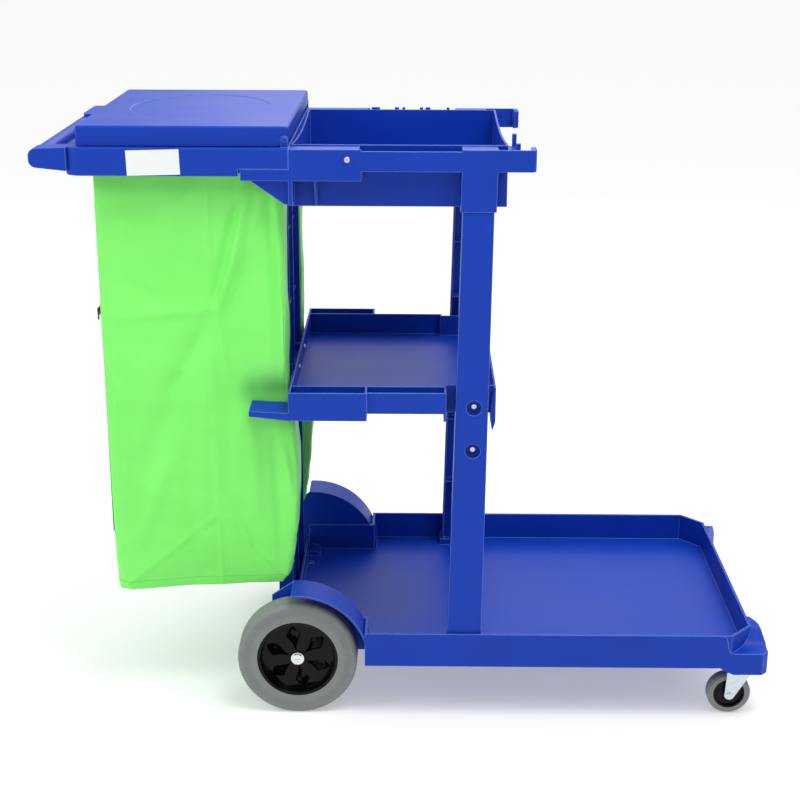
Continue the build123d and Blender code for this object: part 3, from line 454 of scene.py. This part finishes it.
labelFilm = {
    "colour": "#e8ebe9",
    "shade": "#dfe3e1",
    "roughness": 0.38,
    "wave": 16.67,  # mm
    "waveDepth": 0.1,  # mm
}


def makeLabelFilm():
    # white vinyl label film: smooth, slightly glossy, faint lay-down waves
    material, tree = newMaterial("vinyl label film, white")
    place = objectPlace(tree)
    wave = addNode(tree, "ShaderNodeTexNoise", {"Vector": place,
                                                "Scale": 1000 / labelFilm["wave"], "Detail": 1.0})
    colour = addNode(tree, "ShaderNodeMix", {0: wave.outputs["Fac"], 6: linear(labelFilm["colour"]),
                                             7: linear(labelFilm["shade"])}, data_type="RGBA")
    bump = addNode(tree, "ShaderNodeBump", {"Height": wave.outputs["Fac"],
                                            "Distance": labelFilm["waveDepth"] * mm})
    finishShader(tree, {"Base Color": colour.outputs[2], "Roughness": labelFilm["roughness"],
                        "Normal": bump.outputs["Normal"]})
    return material


threadFinish = {"colour": "#5fd14c", "twist": 1.111, "twistDepth": 0.05}  # both twist values in mm


def makeThread():
    # spun polyester sewing thread, green: matt, a little darker than the cloth, faintly twisted
    material, tree = newMaterial("spun polyester thread, green")
    place = objectPlace(tree)
    twist = addNode(tree, "ShaderNodeTexNoise", {"Vector": place,
                                                 "Scale": 1000 / threadFinish["twist"]})
    bump = addNode(tree, "ShaderNodeBump", {"Height": twist.outputs["Fac"],
                                            "Distance": threadFinish["twistDepth"] * mm})
    finishShader(tree, {"Base Color": linear(threadFinish["colour"]), "Roughness": 0.7,
                        "Normal": bump.outputs["Normal"]})
    return material


blue = makePolypropylene()
rubber = makeTyreRubber()
gloss = makeHubPlastic()
plated = makeZinc()
bright = makeChrome()
green = makeCloth()
tapeGreen = makeZipTape()
coilGreen = makeZipCoil()
enamel = makeZipMetal()
film = makeLabelFilm()
thread = makeThread()

slotLook = {
    "blue_polypropylene": blue,
    "grey_tyre_rubber": rubber,
    "black_hub_plastic": gloss,
    "zinc_steel": plated,
    "chrome_cap": bright,
    "lime_coated_fabric": green,
    "lime_zip_tape": tapeGreen,
    "black_zip_metal": enamel,
    "white_label": film,
}


def dressNodes():
    for part in frame["record"]["subparts"]:
        mesh = nodes[part["node"]].data
        mesh.materials.clear()
        mesh.materials.append(slotLook[part["material_slot"]])


dressNodes()
print("materials made and assigned")

# shared mesh helpers


def addPiece(name, mesh, material, body):
    piece = bpy.data.objects.new(name, mesh)
    bpy.context.scene.collection.objects.link(piece)
    mesh.materials.clear()
    mesh.materials.append(material)
    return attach(piece, body)


def smooth(mesh, angle=35):
    mesh.polygons.foreach_set("use_smooth", [True] * len(mesh.polygons))
    mesh.set_sharp_from_angle(angle=math.radians(angle))


def makeRepeatTree():
    # sets short rods along a path, each lying along or across it
    tree = bpy.data.node_groups.new("rods along a path", "GeometryNodeTree")
    tree.interface.new_socket("Geometry", in_out="INPUT", socket_type="NodeSocketGeometry")
    for name, kind in (("Pitch", "NodeSocketFloat"), ("Sides", "NodeSocketInt"), ("Size", "NodeSocketVector"),
                       ("Material", "NodeSocketMaterial")):
        tree.interface.new_socket(name, in_out="INPUT", socket_type=kind)
    tree.interface.new_socket("Geometry", in_out="OUTPUT", socket_type="NodeSocketGeometry")
    given = addNode(tree, "NodeGroupInput").outputs
    path = addNode(tree, "GeometryNodeMeshToCurve", {"Mesh": given["Geometry"]})
    points = addNode(tree, "GeometryNodeResampleCurve", {"Curve": path.outputs["Curve"],
                                                         "Length": given["Pitch"]}, mode="LENGTH")
    tangent = addNode(tree, "GeometryNodeInputTangent")
    outward = addNode(tree, "GeometryNodeInputNamedAttribute", {"Name": "outward"}, data_type="FLOAT_VECTOR")
    along = addNode(tree, "FunctionNodeAlignRotationToVector", {"Vector": tangent.outputs["Tangent"]},
                    axis="X")
    upright = addNode(tree, "FunctionNodeAlignRotationToVector",
                      {"Rotation": along.outputs["Rotation"], "Vector": outward.outputs["Attribute"]},
                      axis="Z", pivot_axis="X")
    rod = addNode(tree, "GeometryNodeMeshCylinder", {"Vertices": given["Sides"], "Radius": 0.5, "Depth": 1.0})
    lying = addNode(tree, "GeometryNodeTransform", {"Geometry": rod.outputs["Mesh"],
                                                    "Rotation": (0.0, math.pi / 2, 0.0)})
    copies = addNode(tree, "GeometryNodeInstanceOnPoints",
                     {"Points": points.outputs["Curve"], "Instance": lying.outputs["Geometry"],
                      "Rotation": upright.outputs["Rotation"], "Scale": given["Size"]})
    real = addNode(tree, "GeometryNodeRealizeInstances", {"Geometry": copies.outputs["Instances"]})
    painted = addNode(tree, "GeometryNodeSetMaterial", {"Geometry": real.outputs["Geometry"],
                                                        "Material": given["Material"]})
    addNode(tree, "NodeGroupOutput", {"Geometry": painted.outputs["Geometry"]})
    return tree


repeatTree = makeRepeatTree()


def rodsAlong(name, paths, pitch, size, material, body, sides=8):
    # paths: lists of (point, outward direction); each path becomes a row of rods
    points, edges, outward = [], [], []
    for path in paths:
        first = len(points)
        points += [place for place, away in path]
        outward += [away for place, away in path]
        edges += [(first + i, first + i + 1) for i in range(len(path) - 1)]
    mesh = bpy.data.meshes.new(name + "Path")
    mesh.from_pydata(points, edges, [])
    attribute = mesh.attributes.new("outward", "FLOAT_VECTOR", "POINT")
    attribute.data.foreach_set("vector", [c for away in outward for c in away])
    holder = bpy.data.objects.new(name + "Path", mesh)
    bpy.context.scene.collection.objects.link(holder)
    modifier = holder.modifiers.new("rods", "NODES")
    modifier.node_group = repeatTree
    sockets = {s.name: s.identifier for s in repeatTree.interface.items_tree if s.in_out == "INPUT"}
    modifier[sockets["Pitch"]] = pitch
    modifier[sockets["Sides"]] = sides
    modifier[sockets["Size"]] = size
    modifier[sockets["Material"]] = material
    graph = bpy.context.evaluated_depsgraph_get()
    made = bpy.data.meshes.new_from_object(holder.evaluated_get(graph), depsgraph=graph)
    made.name = name
    holder.modifiers.remove(modifier)
    bpy.data.objects.remove(holder)
    for attributeName in [a.name for a in made.attributes if a.name == "outward"]:
        made.attributes.remove(made.attributes[attributeName])
    print(name, len(made.polygons), "faces")
    return addPiece(name, made, material, body)


# the bag

bag = {
    "top": 0.931,
    "bottom": 0.1950,
    "handleFace": -0.4963,
    "wall": 0.7 * mm,
    "levels": 130,
    "uvLevel": 60,  # the cloth's pattern is measured along this one
    # height: near corner's x, lobe edge's x, half width
    "profile": [
        (0.195, -0.480, -0.214, 0.1905),
        (0.210, -0.4870, -0.203, 0.1940),
        (0.257, -0.4935, -0.196, 0.197),
        (0.300, -0.4938, -0.190, 0.201),
        (0.374, -0.4922, -0.186, 0.206),
        (0.420, -0.4900, -0.187, 0.209),
        (0.474, -0.4870, -0.191, 0.212),
        (0.500, -0.4855, -0.200, 0.213),
        (0.547, -0.4845, -0.2025, 0.215),
        (0.590, -0.4875, -0.2025, 0.216),
        (0.644, -0.4910, -0.2025, 0.215),
        (0.785, -0.4945, -0.2025, 0.209),
        (0.860, -0.4955, -0.2025, 0.2045),
        (0.900, -0.4960, -0.2035, 0.2025),
        (0.940, -0.4960, -0.2050, 0.2010),
    ],
    "seamX": -0.3195,
    "seamHeight": 2.0 * mm,
    "seamWidth": 3.0 * mm,
    "foldScale": 1.35,
    "foldOvershoot": 0.15,  # how far a fold runs on past its ends, as a share of its length
    "farShift": (0.012, -0.020),  # the far side's folds lie this far along and up from the near side's
    # folds on the near side: x and z of both ends, breadth, height (mm)
    "folds": [
        (-0.2536, 0.8850, -0.3080, 0.6880, 8, 6.0),
        (-0.2691, 0.8750, -0.3170, 0.7000, 7, -4.0),
        (-0.2308, 0.8800, -0.2766, 0.7664, 8, 4.4),
        (-0.2766, 0.7664, -0.3029, 0.7000, 6, 3.0),
        (-0.2460, 0.8500, -0.2860, 0.7200, 6, -3.2),
        (-0.2159, 0.8600, -0.2055, 0.5950, 5, 4.2),
        (-0.2260, 0.8500, -0.2180, 0.5900, 6, -3.0),
        (-0.3294, 0.8900, -0.3893, 0.8200, 16, 2.4),
        (-0.4650, 0.8300, -0.3500, 0.7700, 18, 2.4),
        (-0.4600, 0.7300, -0.4000, 0.7050, 10, -2.2),
        (-0.4549, 0.6758, -0.3240, 0.6863, 7, 2.6),
        (-0.3220, 0.6720, -0.3812, 0.5629, 13, -5.0),
        (-0.3812, 0.5629, -0.4280, 0.4150, 20, -5.6),
        (-0.3280, 0.6300, -0.3487, 0.3669, 14, 3.4),
        (-0.3100, 0.6850, -0.2960, 0.5600, 8, 3.0),
        (-0.2990, 0.5600, -0.3000, 0.3900, 12, -4.2),
        (-0.4750, 0.5500, -0.4620, 0.3600, 14, 3.0),
        (-0.3980, 0.4300, -0.4500, 0.2900, 14, 3.2),
        (-0.3700, 0.4300, -0.3600, 0.2900, 13, -3.0),
        (-0.2600, 0.4900, -0.2560, 0.3500, 12, 3.4),
        (-0.2086, 0.4509, -0.1990, 0.3800, 5, 3.8),
        (-0.2260, 0.4600, -0.2200, 0.2700, 8, -3.4),
        (-0.3140, 0.3420, -0.2818, 0.3145, 3.6, 3.4),
        (-0.2818, 0.3145, -0.2680, 0.2880, 4, 3.0),
        (-0.3020, 0.3700, -0.2750, 0.3400, 7, -2.4),
    ],
    "gussetTop": 0.340,
    "gussetFoot": 0.205,
    "gussetIn": 16 * mm,
    "gussetSlope": 1.5,
    "gussetReach": (0.158, 0.124),  # from the seam to the handle side and to the upright side
    "creaseHeight": 2.2 * mm,
    "creaseWidth": 4.5 * mm,
    "notchHalf": 0.1372,
    "notchX": -0.2357,
    "bow": {"zipEdge": -0.150, "ease": 0.06, "depth": 2.2 * mm, "across": 34, "up": 5.0},
    "lobe": {"inside": 0.14, "depth": 1.2 * mm, "across": 20, "up": 31},
    "wander": {"height": 1.3 * mm, "coarse": (14, 14, 9), "fine": (33, 33, 25)},
    "mouth": {"calmAbove": 0.905, "ease": 0.05},
    "facing": 0.7,  # a point belongs to a side when its outward direction has more than this of it
    "longSide": 0.17,  # the long sides lie further out than this
    "zipSide": -0.14,  # the zip is on the handle side, nearer than this
    # the tool rest pushes the near side in
    "dent": {"y": -0.2010, "x": -0.252, "easeX": 0.022, "z": 0.5345, "half": 0.010, "easeZ": 0.026},
    # the bottom rises from the handle side to the upright
    "rise": {"start": -0.470, "length": 0.270, "height": 0.022, "straight": 0.35},
    "floor": {"middle": -0.350, "rings": 10, "sag": 3.0 * mm, "ripple": 1.2 * mm},
    # the cut: the girth of the wall by its height and half the bottom's depth, with the corners cut away
    "flat": (1.50, 0.88),
    "flatArea": 1.20,
}


def profileAt(z):
    rows = bag["profile"]
    if z <= rows[0][0]:
        return rows[0][1:]
    for low, high in zip(rows, rows[1:]):
        if z <= high[0]:
            t = (z - low[0]) / (high[0] - low[0])
            t = t * t * (3 - 2 * t)
            return [a + (b - a) * t for a, b in zip(low[1:], high[1:])]
    return rows[-1][1:]


def bagOutline(z):
    # corners all round at one height, each with the number of points on the run that starts there
    cornerX, lobeX, half = profileAt(z)
    face = bag["handleFace"]
    notch = bag["notchX"]
    slot = bag["notchHalf"]
    bevel = 5 * mm
    lobeBevel = 7 * mm
    slotBevel = (6 * mm, 3 * mm)
    cornerBevel = (8 * mm, 6 * mm)
    faceBevel = 14 * mm
    return [
        ((cornerX + cornerBevel[0], -half), 92),
        ((lobeX - bevel, -half), 6),
        ((lobeX, -half + lobeBevel), 14),
        ((lobeX, -slot - slotBevel[1]), 6),
        ((lobeX - slotBevel[0], -slot), 6),
        ((notch, -slot), 28),
        ((notch, slot), 6),
        ((lobeX - slotBevel[0], slot), 6),
        ((lobeX, slot + slotBevel[1]), 14),
        ((lobeX, half - lobeBevel), 6),
        ((lobeX - bevel, half), 72),
        ((cornerX + cornerBevel[0], half), 5),
        ((cornerX, half - cornerBevel[1]), 5),
        ((face, half - faceBevel), 44),
        ((face, -half + faceBevel), 5),
        ((cornerX, -half + cornerBevel[1]), 5),
    ]


def ringAt(z):
    corners = bagOutline(z)
    points = []
    for (start, count), (end, later) in zip(corners, corners[1:] + corners[:1]):
        for i in range(count):
            t = i / count
            points.append(Vector((start[0] + (end[0] - start[0]) * t, start[1] + (end[1] - start[1]) * t)))
    for turn in range(3):
        points = [(points[i - 1] + 2 * points[i] + points[(i + 1) % len(points)]) / 4
                  for i in range(len(points))]
    return points


def limited(value):
    return min(1.0, max(0.0, value))


def gussetLift(x, z):
    # below two creases that run from the seam to the corners the fabric leans in
    spread = (bag["gussetTop"] - z) / (bag["gussetTop"] - bag["gussetFoot"])
    if spread <= 0:
        return 0.0
    width = bag["gussetReach"][0] if x < bag["seamX"] else bag["gussetReach"][1]
    inside = spread - abs(x - bag["seamX"]) / width
    crease = bag["creaseHeight"] * math.exp(-(inside * width / bag["creaseWidth"]) ** 2)
    return crease - bag["gussetIn"] * limited(inside * bag["gussetSlope"]) * min(1.0, spread)


def foldLift(x, z, side):
    # how far the folds on a long side stand out; the far side has the near side's, set off a little
    lift = 0.0
    over = bag["foldOvershoot"]
    for x0, z0, x1, z1, breadth, height in bag["folds"]:
        if side > 0:
            x0, x1 = x0 + bag["farShift"][0], x1 + bag["farShift"][0]
            z0, z1 = z0 + bag["farShift"][1], z1 + bag["farShift"][1]
        dx, dz = x1 - x0, z1 - z0
        t = ((x - x0) * dx + (z - z0) * dz) / (dx * dx + dz * dz)
        reach = min(max(t, -over), 1 + over)
        away = math.hypot(x - x0 - reach * dx, z - z0 - reach * dz)
        fade = 0.0
        if -over < reach < 1 + over:
            fade = math.sin(math.pi * (reach + over) / (1 + 2 * over)) ** 0.6
        lift += bag["foldScale"] * height * mm * fade * math.exp(-(away / (breadth * mm)) ** 2)
    # side seam: the fabric is pinched into a fine ridge
    lift += bag["seamHeight"] * math.exp(-abs(x - bag["seamX"]) / bag["seamWidth"])
    return lift + gussetLift(x, z)


def sideLift(x, y, z, outward):
    # how far the wall stands out from the plain ring, by the side that the point is on
    bow = bag["bow"]
    lobe = bag["lobe"]
    facing = bag["facing"]
    if abs(outward.y) > facing and abs(y) > bag["longSide"]:
        return foldLift(x, z, 1 if y > 0 else -1) * (abs(outward.y) - facing) / (1 - facing)
    if outward.x < -facing:
        # the handle side carries the zip, so it only bows a little away from it
        calm = limited((y - bow["zipEdge"]) / bow["ease"])
        return calm * -bow["depth"] * (1 + math.sin(y * bow["across"] + z * bow["up"])) * 0.5
    if outward.x > facing and abs(y) > lobe["inside"]:
        return -lobe["depth"] * (1 + math.sin(z * lobe["up"] + y * lobe["across"]))
    return 0.0


def wanderAt(x, y, z):
    place = Vector((x, y, z))
    coarse, fine = [noise.noise(place * Vector(bag["wander"][step])) for step in ("coarse", "fine")]
    return bag["wander"]["height"] * (coarse + 0.5 * fine)


def bagPoint(flatPoint, outward, z):
    x, y = flatPoint
    lift = sideLift(x, y, z, outward)
    onZip = outward.x < -bag["facing"] and y < bag["zipSide"]
    lift += 0.0 if onZip else wanderAt(x, y, z)
    lift *= limited((bag["mouth"]["calmAbove"] - z) / bag["mouth"]["ease"])
    dent = bag["dent"]
    if y < -bag["longSide"]:
        beside = max(0.0, dent["x"] - x) / dent["easeX"]
        above = max(0.0, abs(z - dent["z"]) - dent["half"]) / dent["easeZ"]
        near = math.exp(-beside ** 2) * math.exp(-above ** 2)
        y += max(0.0, dent["y"] - y) * near
        lift *= 1 - near
    place = Vector((x, y)) + outward * lift
    return place.x, place.y


def bottomAt(x):
    rise = bag["rise"]
    t = limited((x - rise["start"]) / rise["length"])
    return bag["bottom"] + rise["height"] * (rise["straight"] * t + (1 - rise["straight"]) * t ** 5)


def wallRows(sheet):
    rows = []
    for level in range(bag["levels"] + 1):
        share = level / bag["levels"]
        row = []
        base = ringAt(bag["top"] + (bag["bottom"] - bag["top"]) * share)
        for i, flatPoint in enumerate(base):
            z = bag["top"] + (bottomAt(flatPoint.x) - bag["top"]) * share
            along = (base[(i + 1) % len(base)] - base[i - 1]).normalized()
            outward = Vector((along.y, -along.x))
            row.append(sheet.verts.new((*bagPoint(flatPoint, outward, z), z)))
        rows.append(row)
    return rows


def joinWall(sheet, rows, uv):
    # the cloth's pattern runs round the bag by its real girth
    count = len(rows[0])
    girthRow = rows[bag["uvLevel"]]
    around = [0.0]
    for i in range(1, count + 1):
        around.append(around[-1] + (girthRow[i % count].co - girthRow[i - 1].co).length)
    for level in range(len(rows) - 1):
        for i in range(count):
            corners = ((i, level), (i, level + 1), (i + 1, level + 1), (i + 1, level))
            face = sheet.faces.new([rows[row][u % count] for u, row in corners])
            for loop, (u, row) in zip(face.loops, corners):
                loop[uv].uv = (around[u], rows[row][u % count].co.z)


def closeBottom(sheet, wallEnd, uv):
    # the bottom is closed in shrinking rings that sag a little
    floor = bag["floor"]
    middle = Vector((floor["middle"], 0.0, 0.0))
    faces = []
    last = wallEnd
    for step in range(1, floor["rings"]):
        ring = []
        for vert in wallEnd:
            place = middle.lerp(Vector((vert.co.x, vert.co.y, 0)), 1 - step / floor["rings"])
            share = min(1, 2 * step / floor["rings"])
            z = bottomAt(place.x) - floor["sag"] * math.sin(math.pi * share / 2)
            z += floor["ripple"] * noise.noise(Vector((place.x * 20, place.y * 20, 3)))
            ring.append(sheet.verts.new((place.x, place.y, z)))
        for i in range(len(ring)):
            j = (i + 1) % len(ring)
            faces.append(sheet.faces.new((last[i], ring[i], ring[j], last[j])))
        last = ring
    tip = sheet.verts.new((middle.x, middle.y, bottomAt(middle.x) - floor["sag"]))
    for i in range(len(last)):
        faces.append(sheet.faces.new((last[i], tip, last[(i + 1) % len(last)])))
    for face in faces:
        for loop in face.loops:
            loop[uv].uv = (loop.vert.co.x, loop.vert.co.y)


def makeBag():
    sheet = bmesh.new()
    rows = wallRows(sheet)
    uv = sheet.loops.layers.uv.new("cloth")
    joinWall(sheet, rows, uv)
    closeBottom(sheet, rows[-1], uv)
    count = len(rows[0])
    bmesh.ops.recalc_face_normals(sheet, faces=sheet.faces)
    mesh = bpy.data.meshes.new("bag")
    sheet.to_mesh(mesh)
    sheet.free()
    piece = bpy.data.objects.new("bag", mesh)
    bpy.context.scene.collection.objects.link(piece)
    smooth(mesh, 60)
    mesh.materials.append(green)
    thick = piece.modifiers.new("thickness", "SOLIDIFY")
    thick.thickness = bag["wall"]
    thick.offset = -1
    graph = bpy.context.evaluated_depsgraph_get()
    made = bpy.data.meshes.new_from_object(piece.evaluated_get(graph), depsgraph=graph)
    piece.modifiers.remove(thick)
    piece.data = made
    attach(piece, "cart")
    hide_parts("collection_bag")
    print("bag", len(made.polygons), "faces")
    return piece, mesh, count


bagPiece, bagSkin, ringCount = makeBag()


def bagRow(level, first, last, out):
    # a run of points on the bag's skin at one level, set off from it, with their outward directions
    path = []
    for i in range(first, last + 1):
        vert = bagSkin.vertices[level * ringCount + i % ringCount]
        path.append((vert.co + vert.normal * out, vert.normal.copy()))
    return path


stitches = {
    "pitch": 4.2 * mm,
    "size": (2.9 * mm, 0.7 * mm, 0.6 * mm),
    "out": 0.25 * mm,
    "levels": (127, 4),  # the hem and the mouth, counted down the bag's wall
}


def makeStitches():
    seams = [bagRow(level, 0, ringCount, stitches["out"]) for level in stitches["levels"]]
    return rodsAlong("bagStitches", seams, stitches["pitch"], stitches["size"], thread,
                     "cart")


makeStitches()
print("bag sewn")

# zip

zipper = {
    "steps": 90,
    "halfGap": 1.6 * mm,
    "back": 1.15 * mm,
    "face": (0.1 * mm, 0.25 * mm, 0.55 * mm),  # the face's depth at the teeth, part way and at the edge
    "bend": 0.35,  # where part way is, as a share of the tape's width
    "ripple": 0.06 * mm,
    "toothDepth": 0.35 * mm,
    "toothMargin": 2.0 * mm,
    "toothPitch": 1.9 * mm,
    "tooth": (1.1 * mm, 5.0 * mm, 1.1 * mm),
}


def addTape(strip, side, low, high):
    # one of the two tapes: a flat strip along Z whose outer edge ripples a little
    middle = (low.y + high.y) / 2
    edge = side * (high.y - low.y) / 2
    seam = side * zipper["halfGap"]
    bend = seam + (edge - seam) * zipper["bend"]
    atTeeth, partWay, atEdge = zipper["face"]
    rows = []
    for step in range(zipper["steps"] + 1):
        z = low.z + (high.z - low.z) * step / zipper["steps"]
        ripple = zipper["ripple"] * math.sin(step * 0.9 + side)
        section = ((seam, atTeeth), (bend, partWay), (edge, atEdge + ripple),
                   (edge, zipper["back"]), (seam, zipper["back"]))
        rows.append([strip.verts.new((low.x + depth, middle + y, z)) for y, depth in section])
    for near, far in zip(rows, rows[1:]):
        for i in range(len(near)):
            j = (i + 1) % len(near)
            strip.faces.new((near[i], near[j], far[j], far[i]))
    strip.faces.new(rows[0])
    strip.faces.new(list(reversed(rows[-1])))


def makeZip():
    low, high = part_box("zip_tape")
    strip = bmesh.new()
    for side in (-1, 1):
        addTape(strip, side, low, high)
    bmesh.ops.recalc_face_normals(strip, faces=strip.faces)
    mesh = bpy.data.meshes.new("zipTapes")
    strip.to_mesh(mesh)
    strip.free()
    piece = addPiece("zipTapes", mesh, tapeGreen, "cart")
    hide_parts("zip_tape")
    count = int((high.z - low.z) / zipper["toothPitch"])
    x = low.x + zipper["toothDepth"]
    y = (low.y + high.y) / 2
    first = low.z + zipper["toothMargin"]
    run = high.z - low.z - 2 * zipper["toothMargin"]
    path = [((x, y, first + run * i / count), (-1, 0, 0)) for i in range(count + 1)]
    rodsAlong("zipTeeth", [path], zipper["toothPitch"], zipper["tooth"], coilGreen, "cart",
              sides=6)


makeZip()
print("zip made")

# rear wheels

wheel = {
    "lip": 5.0 * mm,
    "lipStep": 1.2 * mm,
    "lipInset": 0.6 * mm,
    "bore": 6.06 * mm,
    "boss": 13.0 * mm,
    "bossBevel": 2.0 * mm,
    "bossInset": 4.0 * mm,
    "dish": 13.0 * mm,
    "dishAtBoss": 0.30,  # of the dish's depth
    "dishWall": 3.0 * mm,
    "dishRings": 30,
    "deepest": 24.0 * mm,
    "blades": 6,
    "turn": 25.0,  # degrees
    "ridge": 5.0 * mm,
    "ridgeAt": 0.74,  # of the way round from one blade to the next
    "kiteAt": 0.24,
    "kite": 34.0,  # degrees across its widest part
    "kiteSpan": (0.04, 0.62, 0.90),  # its start, widest part and end, of the way from boss to rim
    "kiteFloor": 0.25,  # its shallow side's share of the depth
    "kiteWall": 6.0,  # how steep its sides are
    "pocket": 10.0 * mm,
    # the back: radius in from the rim, then the two radii of the spigot, and how far each lies inside
    "backRim": (4.0 * mm, 8.0 * mm),
    "spigot": (22.0 * mm, 19.0 * mm),
    "backDepth": 14.0 * mm,
    "spigotInset": 1.0 * mm,
    "spokes": 384,
    "knurls": 150,
    "knurl": (6.5 * mm, 1.5 * mm, 1.3 * mm),
    "knurlSpan": (17.5 * mm, 11.5 * mm),  # in from the tread
    "knurlSink": 0.15 * mm,
    "knurlPitch": 20.0 * mm,
}


def kiteDepth(share, fromMiddle):
    # a kite-shaped pocket, deeper on one side; share runs from boss to rim, fromMiddle is in degrees
    start, widest, end = wheel["kiteSpan"]
    if not start < share < end:
        return 0.0
    breadth = wheel["kite"] * (share / widest if share < widest else (end - share) / (end - widest))
    inside = 1 - abs(fromMiddle) / max(0.01, breadth / 2)
    slope = limited(fromMiddle / breadth + 0.5)
    depth = wheel["kiteFloor"] + (1 - wheel["kiteFloor"]) * slope
    return wheel["pocket"] * limited(inside * wheel["kiteWall"]) * depth


def bladeDepth(radius, angle, boss, rim):
    # how far the dish lies behind its lip: raised blades with kite-shaped pockets between them
    sector = 360 / wheel["blades"]
    local = (angle - wheel["turn"]) % sector
    share = (radius - boss) / (rim - boss)
    blade = wheel["dish"] * (wheel["dishAtBoss"] + (1 - wheel["dishAtBoss"]) * share)
    fromRidge = abs((local / sector - wheel["ridgeAt"] + 0.5) % 1 - 0.5)
    ridge = wheel["ridge"] * (1 - 2 * fromRidge) * share
    return min(blade - ridge + kiteDepth(share, local - sector * wheel["kiteAt"]), wheel["deepest"])


def hubInset(radius, angle, dishRim):
    if radius <= wheel["boss"]:
        return wheel["bossInset"]
    if radius < dishRim:
        return bladeDepth(radius, angle, wheel["boss"], dishRim - wheel["dishWall"])
    return wheel["lipInset"] if radius < dishRim + wheel["lipStep"] / 2 else 0.0


def hubRings(rim, half):
    # rings of radius, angle and distance out, from the bore over the outer side and back by the inner side
    boss = wheel["boss"]
    dishRim = rim - wheel["lip"]
    dishRun = dishRim - wheel["dishWall"] - boss
    outerRadii = [wheel["bore"], boss - wheel["bossBevel"], boss]
    outerRadii += [boss + dishRun * k / wheel["dishRings"] for k in range(1, wheel["dishRings"] + 1)]
    outerRadii += [dishRim, dishRim + wheel["lipStep"], rim]
    inner = [
        (rim, 0.0),
        (rim - wheel["backRim"][0], 0.0),
        (rim - wheel["backRim"][1], wheel["backDepth"]),
        (wheel["spigot"][0], wheel["backDepth"]),
        (wheel["spigot"][1], wheel["spigotInset"]),
        (wheel["bore"], wheel["spigotInset"]),
    ]
    angles = [360 * k / wheel["spokes"] for k in range(wheel["spokes"])]
    rings = [[(radius, angle, half - hubInset(radius, angle, dishRim)) for angle in angles]
             for radius in outerRadii]
    return rings + [[(radius, angle, inset - half) for angle in angles] for radius, inset in inner]


def makeHub(side):
    sign = 1 if side == "far" else -1
    low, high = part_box("rear_hub_" + side)
    centre = (low + high) / 2
    hub = bmesh.new()
    verts = []
    for ring in hubRings((high.z - low.z) / 2, (high.y - low.y) / 2):
        loop = []
        for radius, angle, out in ring:
            x = centre.x + radius * math.cos(math.radians(angle))
            z = centre.z + radius * math.sin(math.radians(angle))
            loop.append(hub.verts.new((x, centre.y + sign * out, z)))
        verts.append(loop)
    for near, far in zip(verts, verts[1:] + verts[:1]):
        for k in range(len(near)):
            j = (k + 1) % len(near)
            hub.faces.new((near[k], near[j], far[j], far[k]))
    bmesh.ops.recalc_face_normals(hub, faces=hub.faces)
    mesh = bpy.data.meshes.new("wheelHub_" + side)
    hub.to_mesh(mesh)
    hub.free()
    smooth(mesh, 22)
    piece = addPiece("wheelHub_" + side, mesh, gloss, "rear_wheel_" + side)
    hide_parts("rear_hub_" + side)
    return piece


def makeKnurls(side):
    # short moulded bars round both shoulders of the tyre
    low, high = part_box("rear_tyre_" + side)
    centre = (low + high) / 2
    tread = (high.z - low.z) / 2
    paths = []
    for face in (low.y, high.y):
        away = Vector((0, 1 if face == high.y else -1, 0))
        for k in range(wheel["knurls"]):
            angle = 2 * math.pi * k / wheel["knurls"]
            spoke = Vector((math.cos(angle), 0, math.sin(angle)))
            base = Vector((centre.x, face, centre.z)) - away * wheel["knurlSink"]
            paths.append([(base + spoke * (tread - inward), away) for inward in wheel["knurlSpan"]])
    # the pitch is longer than each path, so a path gets one rod at each end
    return rodsAlong("tyreKnurls_" + side, paths, wheel["knurlPitch"], wheel["knurl"], rubber,
                     "rear_wheel_" + side, sides=5)


for side in ("near", "far"):
    makeHub(side)
    makeKnurls(side)
print("rear wheels made")
